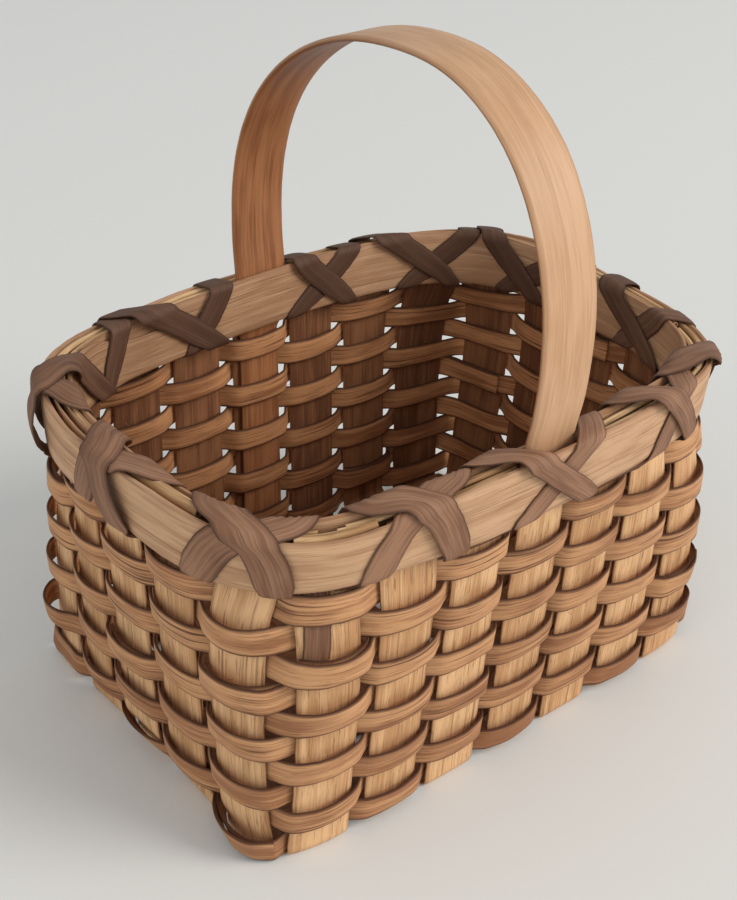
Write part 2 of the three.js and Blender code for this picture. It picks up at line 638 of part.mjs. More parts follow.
// The handle: thin tails tucked behind the weavers, legs between the hoops, and the arch
function handle() {
  const rows = [];
  const add = (y, z, inwardY, inwardZ, width, thickness) => {
    const rise = THREE.MathUtils.clamp((z - HOOP_TOP) / (HANDLE_STRAIGHT + HANDLE_ARCH_HEIGHT), 0, 1);
    const x = z > HOOP_LOW ? lerp(HANDLE_SHIFT, HANDLE_TOP_SHIFT, rise) : HANDLE_TAIL_SHIFT;
    const inward = new THREE.Vector3(0, inwardY, inwardZ).normalize();
    rows.push({ x, y, z, inward, width, thickness });
  };
  const wallY = (z) => planAt(z).halfWidth;
  const tailLow = WEAVE_START + (WEAVER_ROWS - HANDLE_TAIL_ROWS) * ROW_PITCH;
  const springs = HOOP_TOP + HANDLE_STRAIGHT;
  const halfSpan = wallY(HOOP_TOP) + HANDLE_FACE - HANDLE_THICKNESS / 2 + HANDLE_BOW;
  const leg = (side) => {
    const stations = [];
    const tail = (z) => {
      const y = side * (wallY(z) + HANDLE_FACE - HANDLE_TAIL_THICKNESS / 2);
      stations.push([y, z, -side, 0, HANDLE_TAIL_WIDTH, HANDLE_TAIL_THICKNESS]);
    };
    const full = (z, bow) => {
      const y = side * (wallY(Math.min(z, HOOP_TOP)) + HANDLE_FACE - HANDLE_THICKNESS / 2 + bow);
      stations.push([y, z, -side, 0, HANDLE_WIDTH, HANDLE_THICKNESS]);
    };
    tail(tailLow);
    tail(WEAVE_TOP / 2);
    tail(WEAVE_TOP + CLEARANCE);
    full(HOOP_LOW + CLEARANCE, 0);
    full(HOOP_TOP, 0);
    full(HOOP_TOP + HANDLE_STRAIGHT / 2, HANDLE_EARLY_BOW);
    return stations;
  };
  leg(-1).forEach((station) => add(...station));
  for (let i = 0; i <= ARCH_STEPS; i += 1) {
    const turn = (Math.PI * i) / ARCH_STEPS;
    const near = turn < Math.PI / 2;
    const span = near ? halfSpan - HANDLE_LEAN : halfSpan + HANDLE_LEAN;
    const exponent = near ? NEAR_ARCH_EXPONENT : FAR_ARCH_EXPONENT;
    const c = Math.max(0, Math.abs(Math.cos(turn))) ** (2 / exponent);
    const s = Math.max(0, Math.sin(turn)) ** (2 / exponent);
    const y = -HANDLE_LEAN - Math.sign(Math.cos(turn)) * span * c;
    const slopeY = Math.sign(Math.cos(turn)) * c ** (exponent - 1) / span;
    const slopeZ = -(s ** (exponent - 1)) / HANDLE_ARCH_HEIGHT;
    add(y, springs + HANDLE_ARCH_HEIGHT * s, slopeY, slopeZ, HANDLE_WIDTH, HANDLE_THICKNESS);
  }
  leg(1).reverse().forEach((station) => add(...station));
  const face = (side) => rows.map(({ x, y, z, inward, width, thickness }) => [-1, 1].map(
    (edge) => new THREE.Vector3(x + (edge * width) / 2, y, z)
      .addScaledVector(inward, (side * thickness) / 2),
  ));
  return strip(face(1), face(-1));
}

const basket = new THREE.Group();
const add = (name, geometry, material) => {
  const mesh = new THREE.Mesh(geometry, material);
  mesh.name = name;
  basket.add(mesh);
};

const stakeSplint = splint('stake_splint', 0xcb9f74, 0.72);
const weaverSplint = splint('weaver_splint', 0xb0805a, 0.66);
const hoopSplint = splint('hoop_splint', 0xc79e79, 0.6);
const handleSplint = splint('handle_splint', 0xc89f79, 0.5);
const lashingSplint = splint('lashing_splint', 0x8b6a58, 0.68);
const rimGrass = splint('rim_grass', 0xbb9467, 0.7);

for (let i = 0; i < CROSS_STAKES; i += 1) add(`cross_stake_${i + 1}`, crossStake(i), stakeSplint);
for (let m = 0; m < LONG_STAKES; m += 1) add(`long_stake_${m + 1}`, longStake(m), stakeSplint);
for (let row = 1; row <= WEAVER_ROWS; row += 1) add(`weaver_${row}`, weaver(row), weaverSplint);
add('outer_hoop', hoop(OUTER_HOOP_START_STAKE, OUTER_HOOP_FACE, OUTER_HOOP_THICKNESS), hoopSplint);
add('inner_hoop', hoop(INNER_HOOP_START_STAKE, INNER_HOOP_FACE, INNER_HOOP_THICKNESS), hoopSplint);

const strandGap = CLEARANCE / CROSS_RIM_PITCH;
const rightClear = rimShare(HANDLE_WIDTH / 2 + CLEARANCE + HANDLE_SHIFT);
const leftClear = rimShare(HANDLE_WIDTH / 2 + CLEARANCE - HANDLE_SHIFT);
add(
  'outer_strand',
  strand(STRAND_START_STAKE, STRAND_START_STAKE + STAKES - strandGap, OUTER_STRAND_OUT),
  rimGrass,
);
add(
  'right_strand',
  strand(NEAR_HANDLE_STAKE + rightClear, FAR_HANDLE_STAKE - rightClear, INNER_STRAND_OUT),
  rimGrass,
);
add(
  'left_strand',
  strand(FAR_HANDLE_STAKE + leftClear, NEAR_HANDLE_STAKE + STAKES - leftClear, INNER_STRAND_OUT),
  rimGrass,
);
add('lashing_under', lashing(1, PASSES_FORWARD), lashingSplint);
add('lashing_over', lashing(-1, PASSES_BACK), lashingSplint);
add('handle', handle(), handleSplint);

export default basket;
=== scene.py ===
import math

import bpy
import numpy as np
from mathutils import Matrix, Vector


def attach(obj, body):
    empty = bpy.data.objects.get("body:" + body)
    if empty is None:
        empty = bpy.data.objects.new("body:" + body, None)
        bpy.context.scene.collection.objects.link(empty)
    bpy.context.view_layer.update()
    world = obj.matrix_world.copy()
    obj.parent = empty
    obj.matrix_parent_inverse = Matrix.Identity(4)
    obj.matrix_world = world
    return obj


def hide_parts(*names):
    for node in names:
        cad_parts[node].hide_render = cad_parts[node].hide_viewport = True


# A small oblong gathering basket of wood splint. Strips are laid out in millimetres on the wall's
# own map, where u counts stakes round the basket, and every finished mesh is in metres.
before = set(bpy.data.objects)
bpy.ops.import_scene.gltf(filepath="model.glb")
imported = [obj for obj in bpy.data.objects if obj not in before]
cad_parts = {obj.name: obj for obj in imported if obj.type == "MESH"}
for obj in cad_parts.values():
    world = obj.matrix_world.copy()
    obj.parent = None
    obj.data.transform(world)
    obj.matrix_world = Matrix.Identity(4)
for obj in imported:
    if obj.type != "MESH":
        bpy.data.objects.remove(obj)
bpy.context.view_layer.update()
MM = 0.001

# Strips that make the base and the stakes
CROSS_STAKES = 7
LONG_STAKES = 5
STAKES = 2 * (CROSS_STAKES + LONG_STAKES)
STAKE_THICKNESS = 0.8
CROSS_WIDTHS = (12.0, 11.2)
LONG_WIDTHS = (11.6, 11.0)
CROSS_PITCHES = (15.4, 15.0)
LONG_PITCHES = (15.8, 14.4)
END_ROOMS = (5.0, 9.1)
SIDE_ROOMS = (2.6, 8.1)
CORNER_EXPONENTS = (12.0, 3.4)
BEND_RADIUS = 1.1
STAKE_STUB = 10.2

# The far left corner is drawn in below the rim: the stake it centres on, how many stakes it
# reaches each way, how far in, and the heights between which it starts and ends
DRAWN_IN_STAKE = 20
DRAWN_IN_REACH = 1.6
DRAWN_IN_DEPTH = 2.3
DRAWN_IN_START = (0.0, 8.2)
DRAWN_IN_END = (49.0, 57.0)

# The left wall leans in at its foot, in the same terms, up to a height
FOOT_LEAN_STAKE = 22
FOOT_LEAN_REACH = 3.4
FOOT_LEAN_DEPTH = 4.0
FOOT_LEAN_HEIGHT = 8.3

# Weavers
WEAVER_ROWS = 10
WEAVER_WIDTH = 4.95
WEAVER_THICKNESS = 0.6
ROW_GAP = 0.4
WEAVER_BULGE = 0.9
WEAVER_INNER_BULGE = 0.8
WEAVER_PLAY = 0.35
WEAVER_LAP_ROOM = 1.0
LAP_END_DRAWN = 0.8
WEAVER_FIRST_STAKES = (10, 20, 1, 24, 12, 22, 6, 18, 13, 23)

# Rim
HOOP_HEIGHT = 12.0
OUTER_HOOP_THICKNESS = 1.4
INNER_HOOP_THICKNESS = 1.2
OUTER_HOOP_START = 12.0
INNER_HOOP_START = 16.8
HOOP_SCARF = 2.4
HOOP_LAP_STEP = 4.0
HOOP_TIP = 0.6
HOOP_TIP_CUT = 6.5
HOOP_TIP_THICKNESS = 0.25
STALK_BORE = 0.6
STALK_BORE_DEPTH = 0.16
SLIVER_THICKNESS = 0.35
RIM_SWAY = 0.12
HOOP_SWAY = 0.18
LIE_ABOVE_RIM = 1.08
LASHING_WIDTH = 5.4
LASHING_THICKNESS = 0.4
LASHING_TUCK = 0.6
LASHING_PLAY = 0.12
LASHING_CURL = 0.45
LASHING_START = 0.38
RIM_EASE = 0.6
TAIL_THICKNESS = 0.22
LASHING_TAIL = (0.91, 43.6, 57.2, 4.8, -0.06)

# How far the top edge of each hoop lies above or below its plain height, at stakes 1 to 24
OUTER_HOOP_LIE = (
    -3.0, -0.6, 0.2, -0.1, 0.0, 0.0, -0.9, -2.8, -2.6, -2.3, -1.5, -2.0,
    -2.4, -2.4, -2.0, -1.7, -1.5, -1.9, -1.0, 0.3, -1.6, -1.5, -0.7, -2.0,
)
INNER_HOOP_LIE = (
    -1.2, 0.0, 0.0, 0.0, 0.0, 0.0, -0.5, -1.5, -1.3, -0.8, -0.4, -0.4,
    -0.3, -0.2, 0.0, 0.1, -0.3, -0.5, -0.3, 0.0, -0.8, -1.4, -1.3, -1.8,
)
LOW_EDGE_LIE = (
    -0.7, 0.5, -0.2, -0.2, -0.2, 0.2, -0.9, -0.9, -0.6, -0.5, -0.4, -0.5,
    -0.4, -0.3, 0.0, 0.0, -0.3, -0.4, -0.6, -1.0, -1.0, -0.5, -0.8, -0.8,
)

# Each pass of the lashing over the rim, in stake numbers: the gap where it comes out, its foot on
# the outer hoop, the outer edge, middle and inner edge of the rim, its foot on the inner hoop and
# the gap where it goes in. Then how far it stands off the rim's top and off the outer hoop, in
# millimetres, and how broad the splint is there.
PASSES_FORWARD = (
    (1.5, 1.45, 1.85, 2.25, 2.68, 2.7, 2.56, 0.2, 0.0, 1.1),
    (3.5, 3.45, 4.5, 4.7, 4.84, 4.85, 4.5, 0.3, 0.0, 0.9),
    (5.5, 5.85, 6.3, 6.5, 6.7, 6.75, 6.56, 0.3, 0.0, 1.0),
    (8.5, 8.5, 8.5, 8.55, 8.6, 9.35, 9.5, 0.2, 0.0, 1.0),
    (10.5, 10.5, 10.55, 10.55, 10.6, 11.75, 11.5, 0.2, 0.0, 0.95),
    (12.5, 12.45, 12.4, 12.4, 12.42, 13.55, 13.5, 0.3, 0.0, 0.95),
    (14.5, 14.5, 14.4, 14.4, 14.42, 15.5, 15.5, 0.2, 0.0, 0.95),
    (16.5, 16.6, 16.7, 16.7, 16.7, 17.25, 17.5, 0.2, 0.0, 1.0),
    (18.5, 18.45, 18.35, 18.38, 18.45, 18.8, 19.5, 0.3, 0.0, 1.0),
    (19.5, 19.7, 20.1, 20.4, 20.75, 20.85, 20.5, 0.7, 1.2, 1.0),
    (21.5, 21.4, 21.85, 22.3, 22.8, 22.9, 22.5, 0.5, 0.0, 1.1),
    (23.5, 23.47, 24.0, 24.38, 24.72, 24.75, 24.5, 0.2, 0.0, 1.15),
)
PASSES_BACK = (
    (24.5, 24.45, 24.22, 23.93, 23.5, 23.45, 23.5, 0.4, 0.0, 1.25),
    (22.5, 22.35, 21.9, 21.72, 21.5, 21.42, 21.5, 0.6, 1.1, 1.3),
    (20.5, 20.3, 20.25, 20.05, 19.7, 18.75, 18.5, 0.9, 1.7, 1.0),
    (17.5, 17.7, 18.25, 18.15, 17.85, 16.75, 16.5, 0.5, 0.0, 1.0),
    (15.5, 15.45, 15.36, 15.3, 15.28, 14.42, 14.5, 0.3, 0.0, 0.95),
    (13.5, 13.6, 14.0, 13.95, 13.7, 12.6, 12.5, 0.4, 0.0, 0.95),
    (11.5, 11.7, 12.15, 12.12, 12.0, 10.95, 10.5, 0.3, 0.0, 0.95),
    (9.5, 9.55, 9.7, 9.7, 9.65, 8.45, 8.5, 0.3, 0.0, 1.0),
    (8.5, 8.1, 7.55, 7.1, 6.5, 6.38, 6.44, 1.0, 0.2, 1.0),
    (6.44, 6.62, 5.98, 5.68, 5.35, 5.25, 5.5, 0.9, 0.3, 0.9),
    (4.5, 4.62, 3.62, 3.34, 3.0, 2.75, 2.44, 0.7, 0.2, 0.85),
    (2.44, 2.48, 2.1, 1.9, 1.45, 1.3, 1.5, 0.5, 0.2, 1.1),
)

# Handle
HANDLE_WIDTH = 12.4
HANDLE_THICKNESS = 1.3
HANDLE_TAIL_WIDTH = 9.8
HANDLE_TAIL_THICKNESS = 0.8
HANDLE_TAIL_ROWS = 8.5
HANDLE_BOW = 1.4
HANDLE_EARLY_BOW = 1.1
HANDLE_STRAIGHT = 15.0
HANDLE_ARCH_HEIGHT = 44.6
HANDLE_LEAN = 6.1
ARCH_EXPONENTS = (2.16, 2.13)
HANDLE_TAIL_SHIFT = 0.4
HANDLE_SHIFTS = (0.9, 1.8)

CLEARANCE = 0.3

# Heights and offsets that follow from these
LOW_LAYER = STAKE_THICKNESS / 2
HIGH_LAYER = LOW_LAYER + STAKE_THICKNESS + CLEARANCE
ROW_PITCH = WEAVER_WIDTH + ROW_GAP
WEAVE_START = HIGH_LAYER + STAKE_THICKNESS / 2 + CLEARANCE
WEAVE_TOP = WEAVE_START + WEAVER_ROWS * ROW_PITCH - ROW_GAP
WALL_FOOT = HIGH_LAYER + BEND_RADIUS + CLEARANCE
WEAVE_OFFSET = STAKE_THICKNESS / 2 + CLEARANCE + WEAVER_PLAY
TUCK_STEP = LASHING_TUCK + CLEARANCE
HOOP_LOW = WEAVE_TOP + CLEARANCE + 2 * TUCK_STEP
HOOP_TOP = HOOP_LOW + HOOP_HEIGHT
STAKE_TOP = HOOP_LOW + STAKE_STUB
HANDLE_FACE = -(STAKE_THICKNESS / 2 + CLEARANCE)
OUTER_HOOP_FACE = 1.2
INNER_HOOP_FACE = HANDLE_FACE - HANDLE_THICKNESS - CLEARANCE
OUTER_RIM = OUTER_HOOP_FACE + OUTER_HOOP_THICKNESS
INNER_RIM = INNER_HOOP_FACE - INNER_HOOP_THICKNESS
NEAR_HANDLE_STAKE = 4
FAR_HANDLE_STAKE = 16
RIGHT_START = CROSS_STAKES
FAR_START = RIGHT_START + LONG_STAKES
LEFT_START = FAR_START + CROSS_STAKES
CROSS_MIDDLE = (CROSS_STAKES + 1) / 2
LONG_MIDDLE = (LONG_STAKES + 1) / 2
UP = np.array((0.0, 0.0, 1.0))


def lerp(start, end, share):
    return start + (end - start) * share


def reach(count, pitch, width, room):
    return pitch * (count - 1) / 2 + width / 2 + room


# Half length and half width of the plan at the base and at the rim
BASE_HALVES, RIM_HALVES = (
    (
        reach(CROSS_STAKES, CROSS_PITCHES[end], CROSS_WIDTHS[end], END_ROOMS[end]),
        reach(LONG_STAKES, LONG_PITCHES[end], LONG_WIDTHS[end], SIDE_ROOMS[end]),
    )
    for end in (0, 1)
)


def clamp(value, high=1.0):
    return min(high, max(0.0, value))


def cubic(t, start, start_slope, end, end_slope):
    """A smooth curve from one value to the next, with a given slope at each."""
    return (
        (2 * t**3 - 3 * t**2 + 1) * start + (t**3 - 2 * t**2 + t) * start_slope
        + (-2 * t**3 + 3 * t**2) * end + (t**3 - t**2) * end_slope
    )


def plan_at(z):
    """The wall's plan at a height: half length, half width, corner exponent and stake pitches."""
    share = z / WEAVE_TOP
    return (
        lerp(BASE_HALVES[0], RIM_HALVES[0], share),
        lerp(BASE_HALVES[1], RIM_HALVES[1], share),
        lerp(*CORNER_EXPONENTS, min(1.0, share)),
        lerp(*CROSS_PITCHES, share),
        lerp(*LONG_PITCHES, share),
    )


def stands_across(number):
    stake = (number - 1) % STAKES + 1
    return stake <= RIGHT_START or FAR_START < stake <= LEFT_START


def stake_angle(number, z):
    """The direction in which a stake stands from the basket's middle, at a height."""
    turn, index = divmod(number - 1, STAKES)
    stake = index + 1
    half_length, half_width, exponent, cross_pitch, long_pitch = plan_at(z)
    if stands_across(number):
        near = stake <= RIGHT_START
        x = (stake - CROSS_MIDDLE if near else CROSS_MIDDLE + FAR_START - stake) * cross_pitch
        y = half_width * (1 - abs(x / half_length) ** exponent) ** (1 / exponent)
        y *= -1 if near else 1
    else:
        way = 1 if stake <= FAR_START else -1
        y = (stake - (RIGHT_START if way == 1 else LEFT_START) - LONG_MIDDLE) * long_pitch * way
        x = half_length * (1 - abs(y / half_width) ** exponent) ** (1 / exponent) * way
    angle = math.atan2(y, x)
    if stake > LEFT_START and angle < 0:
        angle += 2 * math.pi
    return angle + turn * 2 * math.pi


def smooth_rise(value, start, end):
    share = clamp((value - start) / (end - start))
    return share * share * (3 - 2 * share)


def away_from(u, stake):
    """How many stakes lie between a place and a stake, the shorter way round."""
    turned = abs(u - stake) % STAKES
    return min(turned, STAKES - turned)


def nearness(u, stake, reach_out):
    """How near a place round the wall is to a stake, from 1 at the stake to 0 at its reach."""
    return math.cos(math.pi / 2 * min(1.0, away_from(u, stake) / reach_out)) ** 2


def drawn_in(u, z):
    """How far in the wall is drawn at the far left corner and at the foot of the left wall."""
    level = smooth_rise(z, *DRAWN_IN_START) * (1 - smooth_rise(z, *DRAWN_IN_END))
    return (
        DRAWN_IN_DEPTH * level * nearness(u, DRAWN_IN_STAKE, DRAWN_IN_REACH)
        + FOOT_LEAN_DEPTH * clamp(1 - z / FOOT_LEAN_HEIGHT) * nearness(u, FOOT_LEAN_STAKE, FOOT_LEAN_REACH)
    )


def wall_place(u, z):
    """A point on the wall's middle surface and the direction outwards there."""
    low = math.floor(u)
    angle = lerp(stake_angle(low, z), stake_angle(low + 1, z), u - low)
    half_length, half_width, exponent, _, _ = plan_at(z)
    c, s = math.cos(angle), math.sin(angle)
    radius = (abs(c / half_length) ** exponent + abs(s / half_width) ** exponent) ** (-1 / exponent)
    point = np.array((radius * c, radius * s, z))
    outward = np.array((
        math.copysign(abs(point[0] / half_length) ** (exponent - 1), c) / half_length,
        math.copysign(abs(point[1] / half_width) ** (exponent - 1), s) / half_width,
        0.0,
    ))
    outward /= np.linalg.norm(outward)
    return point - outward * drawn_in(u, z), outward


def wall_point(u, z, out):
    point, outward = wall_place(u, z)
    return point + outward * out


def lie_at(table, u):
    """A value that runs smoothly round the rim through one given value for each stake."""
    low = math.floor(u)
    a, b, c, d = (table[(low + step - 1) % STAKES] for step in (-1, 0, 1, 2))
    return cubic(u - low, b, (c - a) / 2, c, (d - b) / 2)


def rim_drop(u, z, out):
    """How far a place on the rim is shifted up or down by the lie of the hoops."""
    height = clamp((z - HOOP_LOW) / HOOP_HEIGHT, LIE_ABOVE_RIM)
    outer = clamp((out - INNER_RIM) / (OUTER_RIM - INNER_RIM))
    top = lerp(lie_at(INNER_HOOP_LIE, u), lie_at(OUTER_HOOP_LIE, u), outer)
    below = clamp((z - WEAVE_TOP) / (HOOP_LOW - WEAVE_TOP))
    return below * lerp(lie_at(LOW_EDGE_LIE, u), top, height)


def rim_point(u, z, out):
    return wall_point(u, z, out) + UP * rim_drop(u, z, out)


def edge_step(number, side, z):
    """How far the edge of a stake lies from its middle, in u, towards one side."""
    widths = CROSS_WIDTHS if stands_across(number) else LONG_WIDTHS
    width = lerp(*widths, min(1.0, z / WEAVE_TOP))
    gap = wall_point(number, z, 0) - wall_point(number + side / 2, z, 0)
    return width / 4 / np.linalg.norm(gap)


def wander(place, seed, length):
    """A smooth random-looking value from -1 to 1 that drifts along a place."""
    total = 0.0
    for step, share in enumerate((0.5, 0.3, 0.2)):
        phase = 2.3999 * (seed + 1) * (step + 1.7)
        total += share * math.sin(2 * math.pi * place / length * (step + 1) * 1.13 + phase)
    return total


class Run:
    """The path of one strip: its left edge, middle, right edge, face direction and thickness.

    A straight run keeps its rows as they are, and a ribbon turns its width square to its path.
    """

    def __init__(self, tone=0.0, straight=False, ribbon=False):
        self.rows = []
        self.tone = tone
        self.straight = straight
        self.ribbon = ribbon

    def add(self, left, middle, right, face, thickness):
        self.rows.append(np.concatenate((left, middle, right, face, (thickness,))))

    def lay(self, middle, width, face, thickness):
        """A row of a ribbon, for which the width alone says where its edges are."""
        across = np.array((width / 2, 0.0, 0.0))
        self.add(-across, middle, across, face, thickness)

    def smooth(self, step):
        """Rows every step millimetres on a smooth curve through the given ones."""
        rows = np.array(self.rows)
        if self.straight:
            return rows
        chord = np.maximum(np.linalg.norm(np.diff(rows[:, 3:6], axis=0), axis=1), 0.05)
        place = np.concatenate(((0.0,), np.cumsum(chord)))
        slope = np.diff(rows, axis=0) / chord[:, None]
        tangent = np.empty_like(rows)
        tangent[0], tangent[-1] = slope[0], slope[-1]
        before, after = chord[:-1, None], chord[1:, None]
        tangent[1:-1] = (slope[:-1] * after + slope[1:] * before) / (before + after)
        sizes = [0, 6, 12] if self.ribbon else [2, 5, 8, 12]
        steep = 3 * np.minimum(np.abs(slope[:-1, sizes]), np.abs(slope[1:, sizes]))
        tangent[1:-1, sizes] = np.clip(tangent[1:-1, sizes], -steep, steep)
        count = max(2, int(place[-1] / step))
        at = np.linspace(0, place[-1], count)
        index = np.clip(np.searchsorted(place, at, side="right") - 1, 0, len(chord) - 1)
        width = chord[index][:, None]
        t = ((at - place[index]) / chord[index])[:, None]
        slopes = tangent[index] * width, tangent[index + 1] * width
        return cubic(t, rows[index], slopes[0], rows[index + 1], slopes[1])


def unit(vectors):
    return vectors / np.maximum(np.linalg.norm(vectors, axis=-1, keepdims=True), 1e-9)


# How far a ribbon folds along its middle, as a share of its width, and how much of the given face
# direction stays in the thickness of a strip
RIBBON_FOLD = 0.012
FACE_KEPT = 0.35


def guide_mesh(name, runs, step):
    """A mesh of plain polylines that carries what the strip tree needs to know at each point."""
    places, edges = [], []
    carried = {"half": [], "bow": [], "face": [], "thick": [], "tone": []}
    for run in runs:
        rows = run.smooth(step)
        left, middle, right = rows[:, 0:3], rows[:, 3:6], rows[:, 6:9]
        along = np.gradient(middle, axis=0)
        face = unit(rows[:, 9:12])
        if run.ribbon:
            width = np.maximum(rows[:, 6:7] - rows[:, 0:1], 0.3)
            sideways = unit(np.cross(along, face)) * width / 2
            fold = face * width * RIBBON_FOLD
            left, right = middle - sideways - fold, middle + sideways - fold
        square = unit(np.cross(unit(along), unit(right - left)))
        square *= np.sign((square * face).sum(1, keepdims=True))
        first = sum(len(p) for p in places)
        edges += [(first + i, first + i + 1) for i in range(len(rows) - 1)]
        places.append(middle * MM)
        for label, values in zip(carried, (
            (right - left) / 2 * MM, ((left + right) / 2 - middle) * MM, unit(square + FACE_KEPT * face),
            rows[:, 12] * MM, np.full(len(rows), run.tone),
        )):
            carried[label].append(values)
    mesh = bpy.data.meshes.new(name)
    mesh.from_pydata(np.concatenate(places).tolist(), edges, [])
    for label, parts in carried.items():
        single = label in ("thick", "tone")
        layer = mesh.attributes.new(label, "FLOAT" if single else "FLOAT_VECTOR", "POINT")
        values = np.concatenate(parts).astype(np.float32).ravel()
        layer.data.foreach_set("value" if single else "vector", values)
    return mesh


class Wire:
    """What comes out of a node. Sums with it make the nodes that work them out."""

    def __init__(self, wiring, socket):
        self.wiring = wiring
        self.socket = socket

    def __rsub__(self, other):
        return self.wiring.math("SUBTRACT", other, self)


for method, operation in {
    "__add__": "ADD", "__sub__": "SUBTRACT", "__mul__": "MULTIPLY", "__truediv__": "DIVIDE",
    "__pow__": "POWER", "__abs__": "ABSOLUTE", "sign": "SIGN", "at_least": "MAXIMUM",
}.items():
    setattr(Wire, method, lambda it, *more, operation=operation: it.wiring.math(operation, it, *more))


class Wiring:
    """Adds nodes to a tree and links them, left to right."""

    def __init__(self, tree):
        self.tree = tree
        self.column = 0

    def node(self, kind, given=None, label="", **settings):
        """A node with its settings, and a socket or a plain value for each of its named inputs."""
        made = self.tree.nodes.new(kind)
        made.location = (self.column * 190, -(self.column % 3) * 160)
        made.label = label
        self.column += 1
        for key, value in settings.items():
            setattr(made, key, value)
        for key, value in (given or {}).items():
            self.plug(value, made.inputs[key])
        return made

    def plug(self, source, target):
        if isinstance(source, Wire):
            source = source.socket
        if isinstance(source, bpy.types.NodeSocket):
            self.tree.links.new(source, target)
        else:
            target.default_value = source

    def wire(self, kind, given=None, out=0, label="", **settings):
        return Wire(self, self.node(kind, given, label, **settings).outputs[out])

    def math(self, operation, *values):
        return self.wire("ShaderNodeMath", dict(enumerate(values)), operation=operation)

    def vector(self, operation, first, second=None):
        given = {0: first} if second is None else {0: first, "Scale" if operation == "SCALE" else 1: second}
        out = "Value" if operation == "LENGTH" else "Vector"
        return self.wire("ShaderNodeVectorMath", given, out, operation=operation)

    def combine(self, x, y, z=0.0):
        return self.wire("ShaderNodeCombineXYZ", {0: x, 1: y, 2: z})

    def separate(self, value):
        return [Wire(self, socket) for socket in self.node("ShaderNodeSeparateXYZ", {0: value}).outputs]


# How the ripples and frayed edges vary, the angle above which an edge stays sharp, and the shape,
# turns and sizes of the loose fibres
SHARP_ANGLE = math.radians(50)
SEED_STRIDE = 3.71
RIPPLE_SKEW = 0.35
FRAY_FINENESS = 420.0
FIBRE_CURL = {"Start": (0.0, 0.0, 0.0), "Middle": (0.35, 0.1, 0.25), "End": (1.0, 0.0, 0.25)}
FIBRE_RADIUS = 0.022
FIBRE_TURNS = {0: (-0.4, -0.5, 0.0), 1: (0.4, 0.3, 2 * math.pi)}
FIBRE_SIZES = {2: 0.3, 3: 1.0}
FIBRES_BEYOND = 0.8


